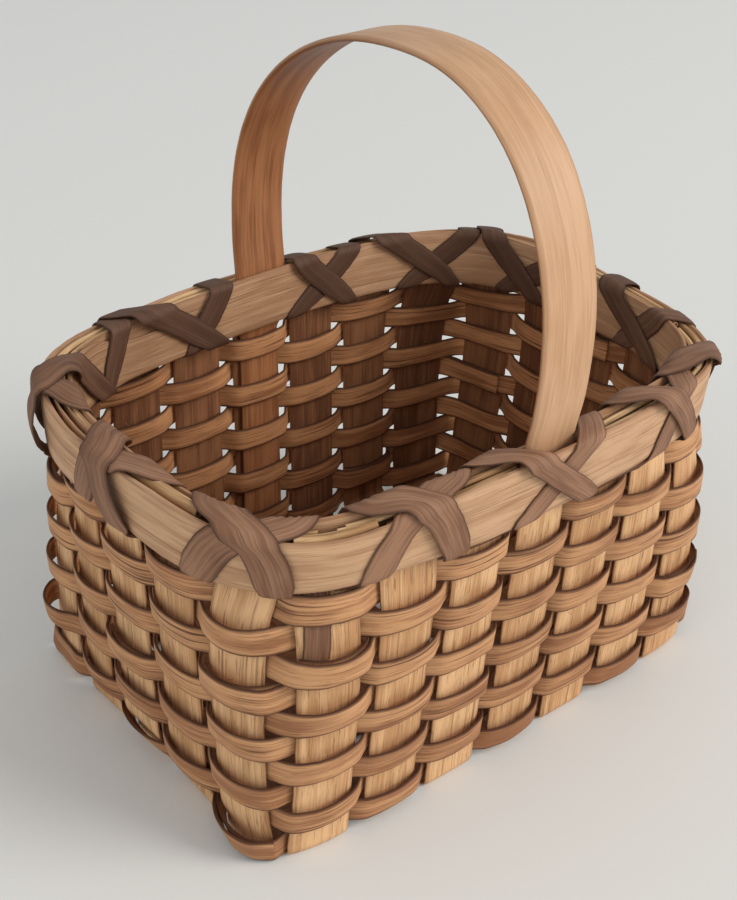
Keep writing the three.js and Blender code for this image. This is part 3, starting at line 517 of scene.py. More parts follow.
def splint_tree():
    """Sweeps a section along each guide line: a thin board with eased edges, or a round stalk."""
    tree = bpy.data.node_groups.new("splint_along_run", "GeometryNodeTree")
    tree.is_modifier = True
    face = tree.interface
    face.new_socket("Geometry", in_out="OUTPUT", socket_type="NodeSocketGeometry")
    for label, kind, value in (
        ("Guide", "Geometry", None),
        ("Section Points", "Int", 20),
        ("Round", "Bool", False),
        ("Edge Ease", "Float", 0.6),
        ("Ripple Height", "Float", 0.0001),
        ("Ripple Length", "Float", 0.012),
        ("Edge Fray", "Float", 0.0001),
        ("Fibre Density", "Float", 0.0),
        ("Fibre Length", "Float", 0.002),
        ("Seed", "Int", 0),
        ("Material", "Material", None),
    ):
        socket = face.new_socket(label, in_out="INPUT", socket_type="NodeSocket" + kind)
        if value is not None:
            socket.default_value = value
    w = Wiring(tree)
    given = w.node("NodeGroupInput").outputs
    done = w.node("NodeGroupOutput")
    points = given["Section Points"]

    def named(label, kind="FLOAT_VECTOR"):
        return w.wire("GeometryNodeInputNamedAttribute", {"Name": label}, data_type=kind)

    def store(geometry, label, value, kind, domain="POINT"):
        parts = {"Geometry": geometry, "Name": label, "Value": value}
        return w.wire("GeometryNodeStoreNamedAttribute", parts, data_type=kind, domain=domain)

    def round_or_flat(stalk, board, kind):
        parts = {"Switch": given["Round"], "False": board, "True": stalk}
        return w.wire("GeometryNodeSwitch", parts, input_type=kind)

    def circle(count, radius):
        parts = {"Resolution": count, "Radius": radius}
        return w.wire("GeometryNodeCurvePrimitiveCircle", parts, mode="RADIUS")

    def swept(rail, section):
        parts = {"Curve": rail, "Profile Curve": section, "Fill Caps": True}
        return w.wire("GeometryNodeCurveToMesh", parts)

    def noise(at, detail):
        parts = {"Vector": at, "Scale": 1.0, "Detail": detail}
        return w.wire("ShaderNodeTexNoise", parts, noise_dimensions="3D")

    def compare(first, second, operation):
        return w.wire("FunctionNodeCompare", {0: first, 1: second}, data_type="FLOAT", operation=operation)

    place = w.wire("GeometryNodeInputPosition")
    rail = w.wire("GeometryNodeMeshToCurve", {"Mesh": given["Guide"]})
    rail = store(rail, "run_length", w.wire("GeometryNodeSplineParameter", out="Length"), "FLOAT")
    rail = store(rail, "run_place", place, "FLOAT_VECTOR")
    parts = {"Width": 2.0, "Height": 0.5}
    board = w.wire("GeometryNodeCurvePrimitiveQuadrilateral", parts, mode="RECTANGLE")
    board = w.wire("GeometryNodeResampleCurve", {"Curve": board, "Count": points}, mode="COUNT")
    section = round_or_flat(circle(points, 1.0), board, "GEOMETRY")
    body = swept(rail, store(section, "section_place", place, "FLOAT_VECTOR"))

    x, y, _ = w.separate(named("section_place"))
    board_x = x.sign() * (1.0 - (1.0 - abs(x)).at_least(0.0) ** 1.5)
    fall = (1.0 - abs(board_x) ** 9.0).at_least(0.0) ** 0.5
    board_y = y * 4.0 * (1.0 - (1.0 - fall) * given["Edge Ease"])
    board = w.combine(board_x, board_y)
    across, lift, _ = w.separate(round_or_flat(named("section_place"), board, "VECTOR"))

    seed = w.math("MULTIPLY", given["Seed"], SEED_STRIDE)
    run_length, tone = named("run_length", "FLOAT"), named("tone", "FLOAT")
    ripple = noise(w.combine(run_length / given["Ripple Length"], seed + across * RIPPLE_SKEW, tone), 1.0)
    ripple = (ripple - 0.5) * given["Ripple Height"] * 2.0
    fray = noise(w.combine(run_length * FRAY_FINENESS, seed + across.sign(), tone), 3.0)
    fray = (fray - 0.5) * given["Edge Fray"] * abs(across) ** 4.0 * across.sign() * 2.0
    half, moved = named("half"), named("run_place")
    for way, share in (
        (half, across),
        (named("bow"), across * across),
        (named("face"), lift * (named("thick", "FLOAT") * 0.5) + ripple),
        (w.vector("NORMALIZE", half), fray),
    ):
        moved = w.vector("ADD", moved, w.vector("SCALE", way, share))
    body = w.wire("GeometryNodeSetPosition", {"Geometry": body, "Position": moved})

    # What the finish needs: where along and across the grain, on which face and how near an edge
    grain = w.combine(run_length + tone * 0.37, across * w.vector("LENGTH", half) + tone * 0.11)
    body = store(body, "grain", grain, "FLOAT2", "CORNER")
    body = store(body, "outer", lift, "FLOAT")
    body = store(body, "edge", abs(across), "FLOAT")
    angle = w.wire("GeometryNodeInputMeshEdgeAngle")
    for domain, smooth in (("FACE", True), ("EDGE", compare(angle, SHARP_ANGLE, "LESS_THAN"))):
        parts = {"Geometry": body, "Shade Smooth": smooth}
        body = w.wire("GeometryNodeSetShadeSmooth", parts, domain=domain)

    # Loose fibres along the edges
    near_edge = compare(named("edge", "FLOAT"), FIBRES_BEYOND, "GREATER_THAN")
    scatter = w.node("GeometryNodeDistributePointsOnFaces", {
        "Mesh": body, "Selection": near_edge, "Density": given["Fibre Density"], "Seed": given["Seed"],
    }, distribute_method="RANDOM").outputs
    curl = w.wire("GeometryNodeCurveQuadraticBezier", {"Resolution": 5, **FIBRE_CURL})
    turn = w.wire("FunctionNodeRandomValue", FIBRE_TURNS, data_type="FLOAT_VECTOR")
    turn = w.wire("FunctionNodeEulerToRotation", {0: turn})
    parts = {"Rotation": scatter["Rotation"], "Rotate By": turn}
    turn = w.wire("FunctionNodeRotateRotation", parts, rotation_space="LOCAL")
    size = w.wire("FunctionNodeRandomValue", FIBRE_SIZES, 1, data_type="FLOAT")
    planted = w.wire("GeometryNodeInstanceOnPoints", {
        "Points": scatter["Points"], "Instance": swept(curl, circle(3, FIBRE_RADIUS)),
        "Rotation": turn, "Scale": size * given["Fibre Length"],
    })
    joined = w.node("GeometryNodeJoinGeometry", {"Geometry": planted})
    w.plug(body, joined.inputs["Geometry"])
    real = w.wire("GeometryNodeRealizeInstances", {"Geometry": joined.outputs["Geometry"]})
    painted = w.wire("GeometryNodeSetMaterial", {"Geometry": real, "Material": given["Material"]})
    w.plug(painted, done.inputs["Geometry"])
    return tree


def places_of(mesh):
    places = np.empty(len(mesh.vertices) * 3, np.float32)
    mesh.vertices.foreach_get("co", places)
    return places.reshape(-1, 3)


def signed_volume(mesh):
    mesh.calc_loop_triangles()
    places = places_of(mesh)
    corners = np.empty(len(mesh.loop_triangles) * 3, np.int32)
    mesh.loop_triangles.foreach_get("vertices", corners)
    a, b, c = (places[corners.reshape(-1, 3)[:, i]] for i in range(3))
    return float((a * np.cross(b, c)).sum())


def grow(name, runs, material, node, slot, step=0.7, laid=None, **inputs):
    """One finished piece: its guide lines, the strip tree, then a plain mesh that rides on the basket."""
    piece = bpy.data.objects.new(name, guide_mesh(name + "_guide", runs, step))
    bpy.context.scene.collection.objects.link(piece)
    modifier = piece.modifiers.new("splint", "NODES")
    modifier.node_group = SPLINT_TREE
    sockets = {
        item.name: item.identifier
        for item in SPLINT_TREE.interface.items_tree
        if item.item_type == "SOCKET" and item.in_out == "INPUT"
    }
    for label, value in {"Material": material, **inputs}.items():
        modifier[sockets[label.replace("_", " ")]] = value
    piece.update_tag()
    bpy.context.view_layer.update()
    ready = piece.evaluated_get(bpy.context.evaluated_depsgraph_get())
    mesh = bpy.data.meshes.new_from_object(ready)
    mesh.name = name
    if signed_volume(mesh) < 0:
        mesh.flip_normals()
    if laid:
        places = laid(places_of(mesh) / MM) * MM
        mesh.vertices.foreach_set("co", places.astype(np.float32).ravel())
        mesh.update()
    for label in ("run_length", "run_place", "section_place", "half", "bow", "face", "thick"):
        layer = mesh.attributes.get(label)
        if layer:
            mesh.attributes.remove(layer)
    piece.modifiers.clear()
    guide = piece.data
    piece.data = mesh
    bpy.data.meshes.remove(guide)
    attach(piece, "root")
    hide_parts(node)
    return piece


def stake_run(start, end, aside, along, turn, width, crossings, layer_of, ramp_ends, tone):
    """One strip of base and wall: up one wall, across the base and up the other."""
    heights = [STAKE_TOP] + [lerp(WEAVE_TOP, WALL_FOOT, share) for share in np.linspace(0, 1, 12)]
    side_way = np.array((along[1], along[0], 0.0))

    def wall_row(number, sign, z):
        width_share = 1 + 0.02 * wander(z, number + 3, 40)
        sides = []
        for side in (-1, 0, 1):
            step = side * turn * sign
            u = number + (step * edge_step(number, step, z) * width_share if step else 0.0)
            point, outward = wall_place(u, z)
            sides.append((point + UP * rim_drop(u, z, 0), outward))
        return sides

    def climb(number, sign, layer):
        rows = [wall_row(number, sign, z) for z in heights]
        inward = along * sign
        foot = wall_row(number, sign, WALL_FOOT)
        for step in (1, 2, 3):
            angle = step / 3 * math.pi / 2
            bent = []
            for point, _ in foot:
                place = point + inward * BEND_RADIUS * (1 - math.cos(angle))
                place[2] = layer + BEND_RADIUS * (1 - math.sin(angle))
                bent.append((place, -inward * math.cos(angle) - UP * math.sin(angle)))
            rows.append(bent)
        return rows

    floor = []
    for index, ends in enumerate(crossings):
        for distance in ends:
            middle = side_way * aside + along * distance + UP * layer_of(index)
            floor.append([(middle + side_way * c * width / 2, -UP) for c in (-1, 0, 1)])
    first, last = (LOW_LAYER if ramp_ends else layer_of(i) for i in (0, len(crossings) - 1))
    run = Run(tone)
    for sides in climb(start, 1, first) + floor + climb(end, -1, last)[::-1]:
        run.add(*(point for point, _ in sides), sides[1][1], STAKE_THICKNESS)
    return run


def crossings_of(count, pitch, width):
    middles = [(i - (count - 1) / 2) * pitch for i in range(count)]
    return [(middle - width / 2, middle + width / 2) for middle in middles]


# Weaver loops that have sprung away from their stake: row and stake number, and how far out
SPRUNG_LOOPS = {
    (4, 20): 0.3, (6, 20): 0.5, (8, 20): 1.6, (10, 20): -1.1, (2, 24): 0.4, (3, 1): 0.5, (10, 24): 0.6,
}

# Where a weaver sags: its row, the stake number of the place, how far it drops and how wide that is
SAGS = (
    (10, 24.4, 1.7, 0.5), (9, 25.0, 0.8, 0.5), (7, 13.0, 0.5, 0.8), (3, 27.0, 0.4, 0.7),
    (5, 22.0, 0.4, 0.6),
)


def sag_of(row, u):
    total = 0.0
    for at_row, place, depth, width in SAGS:
        total += depth * math.exp(-(away_from(u, place) / width) ** 2) if at_row == row else 0.0
    return total


def weaver_run(row):
    """One weaver: once round the wall, over one stake and behind the next, lapping two stakes."""
    run = Run(tone=math.sin(row * 12.9898) * 0.5)
    low = WEAVE_START + (WEAVER_ROWS - row) * ROW_PITCH
    first = WEAVER_FIRST_STAKES[row - 1]
    for step in range(STAKES + 2):
        number = first + step
        outside = (row + number) % 2 == 0
        side = 1 if outside else -1
        stake = (number - 1) % STAKES + 1
        by_handle = stake in (NEAR_HANDLE_STAKE, FAR_HANDLE_STAKE) and not outside
        lap = (step < 2 and not outside) or (step >= STAKES and outside)
        reach_out = WEAVE_OFFSET + (HANDLE_TAIL_THICKNESS + CLEARANCE if by_handle else 0)
        reach_out += WEAVER_LAP_ROOM if lap else 0
        swell = WEAVER_BULGE * (1 + 0.3 * wander(number, row, 5.3)) if outside else WEAVER_INNER_BULGE
        swell += SPRUNG_LOOPS.get((row, stake), 0.0) if outside else 0.0
        last = step == STAKES + 1
        for column in (-1, -0.5, 0, 0.5, 1):
            drawn = LAP_END_DRAWN * max(0.0, column) if last else 0.0
            out = side * (reach_out + swell * (1 - column * column) - drawn)
            u = number + (0 if column == 0 else column * edge_step(number, math.copysign(1, column), low))
            drift = 0.22 * wander(u, 1, 9.0) + 0.12 * wander(u, row + 5, 6.0)
            width = WEAVER_WIDTH * (1.04 + 0.04 * wander(u, row, 7.0))
            middle = low + WEAVER_WIDTH / 2 + drift - sag_of(row, u)
            lean = side * (0.1 + (0.22 + 0.1 * wander(u, row + 3, 2.7)) * (1 - column * column))
            points = [wall_point(u, middle + s * width / 2, out + s * lean) for s in (-1, 0, 1)]
            run.add(*points, wall_place(u, middle)[1], WEAVER_THICKNESS)
    return run


def hoop_run(start, face, thickness, tone):
    """A rim hoop whose two thinned ends lap in a scarf."""
    sign = math.copysign(1, face)
    tip = HOOP_TIP_THICKNESS
    lap = thickness - CLEARANCE - tip
    run = Run(tone)
    steps = round((STAKES + HOOP_SCARF) * 4)
    for i in range(steps + 1):
        travelled = (STAKES + HOOP_SCARF) * i / steps
        near, far, cut = 0.0, thickness, 0.0
        if travelled < HOOP_SCARF:
            near = thickness - lerp(tip, lap, travelled / HOOP_SCARF)
            cut = HOOP_LAP_STEP * (1 - smooth_rise(travelled, HOOP_SCARF / 2, HOOP_SCARF))
            cut += HOOP_TIP_CUT * max(0.0, 1 - travelled / HOOP_TIP) ** 1.5
        elif travelled > STAKES:
            far = lerp(lap, tip, (travelled - STAKES) / HOOP_SCARF)
        u = start + travelled
        out = face + sign * (near + far) / 2
        sway = HOOP_SWAY * wander(u, 2, 8.0)
        low, high = HOOP_LOW + sway, HOOP_TOP + sway - cut
        points = [rim_point(u, z, out) for z in (low, (low + high) / 2, high)]
        run.add(*points, wall_place(u, HOOP_TOP)[1], far - near)
    return run


def along_strip(knots, stations, share):
    """A value at a station along a strip, on a smooth curve through its knots."""
    slopes = [(b - a) / (t - s) for a, b, s, t in zip(knots, knots[1:], stations, stations[1:])]
    tangents = [slopes[0]]
    for before, after, s, t, v in zip(slopes, slopes[1:], stations, stations[1:], stations[2:]):
        tangents.append((before * (v - t) + after * (t - s)) / (v - s))
    tangents.append(slopes[-1])
    index = sum(share > t for t in stations[1:-1])
    span = stations[index + 1] - stations[index]
    slopes = tangents[index] * span, tangents[index + 1] * span
    return cubic((share - stations[index]) / span, knots[index], slopes[0], knots[index + 1], slopes[1])


# The rim laid out flat: lengths along it, in millimetres, against the stake number
RIM_NUMBERS = np.linspace(0, STAKES + 2, 20 * (STAKES + 2) + 1)
RIM_PLACES = np.array([rim_point(u, HOOP_TOP, 0.0) for u in RIM_NUMBERS])
RIM_STEPS = np.linalg.norm(np.diff(RIM_PLACES, axis=0), axis=1)
RIM_LENGTHS = np.concatenate(((0.0,), np.cumsum(RIM_STEPS)))


def rim_wrap(travelled, off):
    """How far out and how high a splint lies that climbs the outer hoop and goes over the rim."""
    under = OUTER_RIM - INNER_RIM
    corners = np.cumsum((0.0, HOOP_HEIGHT, under, HOOP_HEIGHT))
    out = np.interp(
        travelled, (-under, *corners, corners[3] + under),
        (INNER_RIM, OUTER_RIM, OUTER_RIM, INNER_RIM, INNER_RIM, OUTER_RIM),
    )
    height = np.interp(travelled, corners, (HOOP_LOW, HOOP_TOP, HOOP_TOP, HOOP_LOW))
    eased = [corner + side * RIM_EASE for corner in corners for side in (-1, 1)]
    angle = np.interp(travelled, eased, np.radians((-90, 0, 0, 90, 90, 180, 180, 270)))
    out = np.clip(out, INNER_RIM + RIM_EASE, OUTER_RIM - RIM_EASE)
    height = np.clip(height, HOOP_LOW + RIM_EASE, HOOP_TOP - RIM_EASE)
    return out + np.cos(angle) * (RIM_EASE + off), height + np.sin(angle) * (RIM_EASE + off)


def lay_on_rim(flat):
    """Places of a strip drawn flat, as length along the rim, way over it and lift off it."""
    numbers = np.interp(flat[:, 0], RIM_LENGTHS, RIM_NUMBERS)
    outs, heights = rim_wrap(flat[:, 1], flat[:, 2])
    return np.array([rim_point(*place) for place in zip(numbers, heights, outs)])


def lashing_runs(direction, passes, tone):
    """The splint that binds the rim one way round, drawn flat: a run for each pass over the rim."""
    lift = 0.0 if direction > 0 else LASHING_THICKNESS + LASHING_PLAY
    rest = LASHING_THICKNESS / 2 + LASHING_PLAY + lift
    half_top = (OUTER_RIM - INNER_RIM) / 2
    tucked = STAKE_THICKNESS / 2 + LASHING_THICKNESS / 2 + CLEARANCE - OUTER_RIM
    tuck_depth = 2 * TUCK_STEP - LASHING_TUCK / 2 - (0 if direction > 0 else TUCK_STEP)
    stations = np.cumsum((0.0, HOOP_HEIGHT, half_top, half_top, HOOP_HEIGHT)).tolist()
    runs = []
    end = passes[0][0] - direction * LASHING_START
    for start, foot_out, top_out, top, top_in, foot_in, next_end, proud, loose, broad in passes:
        run = Run(tone, ribbon=True)
        wide = LASHING_WIDTH * broad
        knots = (foot_out, top_out, top, top_in, foot_in)

        def add(u, travelled, off, width):
            middle = np.array((np.interp(u, RIM_NUMBERS, RIM_LENGTHS), travelled, off))
            run.lay(middle, width, UP, LASHING_THICKNESS)

        def over(travelled, off, width):
            straight = np.interp(travelled, stations, knots)
            u = lerp(straight, along_strip(knots, stations, travelled), LASHING_CURL)
            add(u, travelled, off, width)

        if abs(start - end) > 0.1:
            for u in np.linspace(end, start - 0.1 * direction, max(2, round(2 * abs(start - end)))):
                add(u, tucked, tuck_depth, LASHING_TUCK)
        add(start, tucked + 0.4, lerp(tuck_depth, rest, 0.5), 0.25 * wide)
        add(lerp(start, foot_out, 0.6), 0.5 * tucked, rest, 0.5 * wide)
        add(lerp(start, foot_out, 0.9), -0.1, rest, 0.72 * wide)
        for share in (0.1, 0.3, 0.5, 0.7, 0.9):
            away = loose * (1 - (2 * share - 1) ** 2)
            over(share * HOOP_HEIGHT, rest + away, lerp(0.82, 1.0, min(1.0, share / 0.3)) * wide)
        over(stations[1] + 0.4, rest + 0.5 * proud, wide)
        over(stations[2], rest + proud, wide)
        over(stations[3] - 0.4, rest + 0.5 * proud, wide)
        for share in (0.9, 0.7, 0.5, 0.3, 0.1):
            narrowed = lerp(0.62, 1.0, min(1.0, share / 0.4)) * wide
            over(stations[4] - share * HOOP_HEIGHT, rest, narrowed)
        end = next_end
        add(lerp(end, foot_in, 0.9), stations[4] + 0.1, rest, 0.5 * wide)
        add(lerp(end, foot_in, 0.6), stations[4] + INNER_HOOP_THICKNESS, rest, 0.36 * wide)
        add(end, stations[4] - INNER_RIM, tuck_depth, LASHING_TUCK)
        runs.append(run)
    return runs


def tail_run(u, low, high, width, turn):
    """The loose end of a lashing splint, tucked down between a stake and the weaver over it."""
    run = Run(tone=-0.4, ribbon=True)
    out = STAKE_THICKNESS / 2 + TAIL_THICKNESS / 2 + CLEARANCE / 4
    for share in np.linspace(0, 1, 7):
        z, at = lerp(high, low, share), u + turn * share
        run.lay(wall_point(at, z, out), width, wall_place(at, z)[1], TAIL_THICKNESS)
    return run


def handle_run():
    """Thin tails tucked behind the weavers, legs between the hoops, and the arch."""

    def leg(side):
        rows = []
        tail_low = WEAVE_START + (WEAVER_ROWS - HANDLE_TAIL_ROWS) * ROW_PITCH
        tail_top = (WEAVE_TOP - ROW_PITCH, WEAVE_TOP - ROW_PITCH / 2, WEAVE_TOP + CLEARANCE)
        for z in (tail_low, WEAVE_TOP / 2, *tail_top):
            y = side * (plan_at(z)[1] + HANDLE_FACE - HANDLE_TAIL_THICKNESS / 2)
            rows.append((y, z, side, 0.0, HANDLE_TAIL_WIDTH, HANDLE_TAIL_THICKNESS))
        middle = HOOP_TOP + HANDLE_STRAIGHT / 2
        for z, bow in ((HOOP_LOW + CLEARANCE, 0.0), (HOOP_TOP, 0.0), (middle, HANDLE_EARLY_BOW)):
            y = side * (plan_at(min(z, HOOP_TOP))[1] + HANDLE_FACE - HANDLE_THICKNESS / 2 + bow)
            rows.append((y, z, side, 0.0, HANDLE_WIDTH, HANDLE_THICKNESS))
        return rows

    springs = HOOP_TOP + HANDLE_STRAIGHT
    half_span = plan_at(HOOP_TOP)[1] + HANDLE_FACE - HANDLE_THICKNESS / 2 + HANDLE_BOW
    rows = leg(-1)
    for turn in np.linspace(0, math.pi, 33):
        near = turn < math.pi / 2
        span = half_span - HANDLE_LEAN if near else half_span + HANDLE_LEAN
        exponent = ARCH_EXPONENTS[0] if near else ARCH_EXPONENTS[1]
        c = abs(math.cos(turn)) ** (2 / exponent)
        s = max(0.0, math.sin(turn)) ** (2 / exponent)
        way = math.copysign(1, math.cos(turn))
        rows.append((
            -HANDLE_LEAN - way * span * c, springs + HANDLE_ARCH_HEIGHT * s,
            -way * c ** (exponent - 1) / span, s ** (exponent - 1) / HANDLE_ARCH_HEIGHT,
            HANDLE_WIDTH, HANDLE_THICKNESS,
        ))
    run = Run()
    for y, z, face_y, face_z, width, thickness in rows + leg(1)[::-1]:
        rise = clamp((z - HOOP_TOP) / (HANDLE_STRAIGHT + HANDLE_ARCH_HEIGHT))
        x = lerp(*HANDLE_SHIFTS, rise) if z > HOOP_LOW else HANDLE_TAIL_SHIFT
        points = [np.array((x + side * width / 2, y, z)) for side in (-1, 0, 1)]
        run.add(*points, unit(np.array((0.0, face_y, face_z))), thickness)
    return run


def stalk_run(start, end, out, z, radius, seed):
    """One dry stalk laid along the rim, with a hollow at each end."""
    run = Run(tone=math.sin(seed * 7.77) * 0.5, straight=True)
    count = max(3, round((end - start) * 10))
    bore, depth = STALK_BORE * radius, STALK_BORE_DEPTH
    sizes = (
        (start + depth, bore * 0.7), (start + depth / 2, bore), (start, bore),
        *((lerp(start, end, i / count), radius) for i in range(count + 1)),
        (end, bore), (end - depth / 2, bore), (end - depth, bore * 0.7),
    )
    for u, size in sizes:
        sway = RIM_SWAY * wander(u, seed, 3.1)
        lift = RIM_SWAY * wander(u, seed + 9, 2.3)
        outward = wall_place(u, z)[1]
        middle = rim_point(u, z + lift, out + sway)
        run.add(middle - outward * size, middle, middle + outward * size, UP, 2 * size)
    return run


def sliver_run(start, end, outs, low, high, seed):
    """A thin offcut of splint that stands on edge between the hoops."""
    run = Run(tone=math.sin(seed * 5.31) * 0.5)
    for share in np.linspace(0, 1, 9):
        u = lerp(start, end, share)
        out = lerp(*outs, share) + RIM_SWAY * wander(u, seed, 1.7)
        points = [rim_point(u, lerp(low, high, level), out) for level in (0, 0.5, 1)]
        run.add(*points, wall_place(u, high)[1], SLIVER_THICKNESS)
    return run


# Finishes

# The grain's layers: how often each changes in a metre along the strip and across it, how much
# detail it has and how it is shifted
GRAIN = {
    "fibres": (70.0, 2400.0, 4.0, 0.0),
    "growth bands": (22.0, 520.0, 3.0, 3.1),
    "dark streaks": (26.0, 1300.0, 3.0, 7.7),
    "pores": (150.0, 3600.0, 2.0, 11.3),
    "broad shade": (45.0, 140.0, 2.0, 17.9),
}
GRAIN_RELIEF = 0.00012

# Painted shade: the splint is coloured darker towards the back of the basket, over this distance in metres
FAR_SHADE_SPAN = (-0.045, 0.045)


def linear(red, green, blue):
    """A colour as it is seen on screen, from 0 to 255, turned into scene values."""
    return tuple(
        (v / 12.92 if v <= 0.04045 else ((v + 0.055) / 1.055) ** 2.4)
        for v in (red / 255, green / 255, blue / 255)
    ) + (1.0,)


def splint_finish(name, light, dark, streak, pore, streaked, pored, roughness, edge_wear_and_shade,
                  inner=None, edge_start=0.84, bump=0.5, far_shade=0.0):
    """Dry split wood: fine fibres and streaks that run with the strip, dark pores, and dark edges that are
    partly wear and partly painted shade.
    """
    material = bpy.data.materials.new(name)
    material.use_nodes = True
    tree = material.node_tree
    tree.nodes.clear()
    w = Wiring(tree)
    uv = w.wire("ShaderNodeUVMap", uv_map="grain")
    light, dark, streak, pore = (linear(*colour) for colour in (light, dark, streak, pore))

    def carried(label):
        return w.wire("ShaderNodeAttribute", out="Fac", attribute_name=label)

    def along(label, length_scale, width_scale, detail, shift):
        parts = {"Scale": (length_scale, width_scale, 1.0), "Location": (shift, shift * 2.3, shift)}
        at = w.wire("ShaderNodeMapping", {"Vector": uv, **parts}, label=label)
        parts = {"Vector": at, "Scale": 1.0, "Detail": detail, "Roughness": 0.6}
        return w.wire("ShaderNodeTexNoise", parts, label=label, noise_dimensions="2D")

    def window(value, low, high):
        parts = {"Value": value, "From Min": low, "From Max": high}
        return w.wire("ShaderNodeMapRange", parts, interpolation_type="SMOOTHSTEP")

    def blend(share, first, second):
        parts = {"Factor": share, 6: first, 7: second}
        return w.wire("ShaderNodeMix", parts, 2, data_type="RGBA", blend_type="MIX")

    fibres, bands, streaks, pores, broad = (along(label, *layer) for label, layer in GRAIN.items())
    shade = (fibres - 0.5) * 0.9 + bands + (broad - 0.5) * 0.9 + carried("tone") * 0.25
    shade = window(shade, 0.2, 0.8)
    colour = blend(shade, dark, light)
    if inner:
        inner_light, inner_dark = (linear(*colour) for colour in inner)
        within = blend(shade, inner_dark, inner_light)
        colour = blend(window(carried("outer"), -0.4, 0.4), within, colour)
    streaks = window(streaks, 0.60, 0.72) * streaked
    pores = window(pores, 0.62, 0.70) * pored
    colour = blend(streaks, colour, streak)
    colour = blend(pores, colour, pore)
    # Darker near the edges: partly worn edges, partly painted shade of the gaps beside them
    colour = blend(window(carried("edge"), edge_start, 1.0) * edge_wear_and_shade, colour, streak)
    # Painted shade: the splint is coloured darker towards the back of the basket
    if far_shade:
        x, y, _ = w.separate(w.wire("ShaderNodeTexCoord", out="Object"))
        colour = blend(window(x * 0.55 + y, *FAR_SHADE_SPAN) * far_shade, colour, streak)
    relief = fibres * 0.8 - streaks * 0.8 - pores * 0.7 + bands * 0.6
    raised = w.wire("ShaderNodeBump", {"Strength": bump, "Distance": GRAIN_RELIEF, "Height": relief})
    shader = w.wire("ShaderNodeBsdfPrincipled", {
        "Base Color": colour, "Roughness": (fibres - 0.5) * 0.25 + roughness,
        "Specular IOR Level": 0.35, "Normal": raised,
    })
    w.node("ShaderNodeOutputMaterial", {"Surface": shader})
    return material


SPLINT_TREE = splint_tree()

stake_finish = splint_finish(
    "stake_splint", (232, 186, 137), (198, 148, 102), (116, 68, 38), (126, 76, 44),
    streaked=0.5, pored=0.6, roughness=0.72, edge_wear_and_shade=0.45, inner=((152, 102, 66), (108, 66, 40)))
# The weavers' broad dark edges are mostly painted shade, standing in for the shadow lines where their edges
# stand off the stakes
weaver_finish = splint_finish(
    "weaver_splint", (208, 155, 109), (156, 104, 68), (70, 37, 20), (92, 52, 30),
    streaked=0.8, pored=0.5, roughness=0.66, edge_wear_and_shade=0.95, inner=((208, 150, 102), (156, 102, 65)),
    edge_start=0.72)
hoop_finish = splint_finish(
    "hoop_splint", (208, 166, 128), (178, 134, 98), (128, 82, 54), (130, 84, 56),
    streaked=0.45, pored=0.3, roughness=0.6, edge_wear_and_shade=0.3, far_shade=0.1)
handle_finish = splint_finish(
    "handle_splint", (208, 165, 127), (190, 146, 108), (146, 98, 66), (140, 92, 60),
    streaked=0.25, pored=0.15, roughness=0.46, edge_wear_and_shade=0.35, inner=((176, 118, 78), (138, 86, 52)),
    bump=0.3)
# The lashing carries strong painted shade towards the back of the basket
lashing_finish = splint_finish(
    "lashing_splint", (162, 120, 92), (122, 84, 61), (66, 40, 27), (78, 48, 34),
    streaked=0.55, pored=0.15, roughness=0.68, edge_wear_and_shade=0.75, far_shade=0.8)
grass_finish = splint_finish(
    "rim_grass", (228, 190, 142), (166, 124, 82), (96, 62, 36), (104, 68, 40),
    streaked=0.6, pored=0.3, roughness=0.7, edge_wear_and_shade=0.0)


def grow_stakes(kind, ends_of, along, turn, lay, others, high_where, ramp_ends, tone_of, seed):
    """A set of strips, from how they and the strips across them lie: count, pitch and width."""
    count, pitch, width = lay
    for i in range(count):
        def layer_of(other):
            return HIGH_LAYER if (i + other) % 2 == high_where else LOW_LAYER

        run = stake_run(
            *ends_of(i), (i - (count - 1) / 2) * pitch, np.array(along), turn, width,
            crossings_of(*others), layer_of, ramp_ends, math.sin(tone_of(i)) * 0.5,
        )
        grow(f"{kind}_strip_{i + 1}", [run], stake_finish, f"{kind}_{i + 1}", "stake_splint", step=0.9,
             Edge_Fray=0.00012, Ripple_Height=0.00012, Seed=i + seed)


CROSS_LAY = (CROSS_STAKES, CROSS_PITCHES[0], CROSS_WIDTHS[0])
LONG_LAY = (LONG_STAKES, LONG_PITCHES[0], LONG_WIDTHS[0])
grow_stakes(
    "cross_stake", lambda i: (i + 1, FAR_START + CROSS_STAKES - i), (0.0, 1.0, 0.0), 1,
    CROSS_LAY, LONG_LAY, 1, False, lambda i: i * 4.1, 1)
grow_stakes(
    "long_stake", lambda i: (STAKES - i, RIGHT_START + 1 + i), (1.0, 0.0, 0.0), -1,
    LONG_LAY, CROSS_LAY, 0, True, lambda i: i * 3.3 + 1, 11)
for row in range(1, WEAVER_ROWS + 1):
    grow(
        f"weaver_strip_{row}", [weaver_run(row)], weaver_finish, f"weaver_{row}", "weaver_splint",
        step=0.6, Edge_Fray=0.00022, Ripple_Height=0.00018, Fibre_Density=18000.0, Seed=row + 30,
    )
for hoop, start, face, thickness, tone, seed in (
    ("outer_hoop", OUTER_HOOP_START, OUTER_HOOP_FACE, OUTER_HOOP_THICKNESS, 0.2, 51),
    ("inner_hoop", INNER_HOOP_START, INNER_HOOP_FACE, INNER_HOOP_THICKNESS, -0.4, 52),
):
    grow(hoop + "_band", [hoop_run(start, face, thickness, tone)], hoop_finish, hoop, "hoop_splint",
         Ripple_Height=0.0002, Edge_Fray=0.00012, Seed=seed)
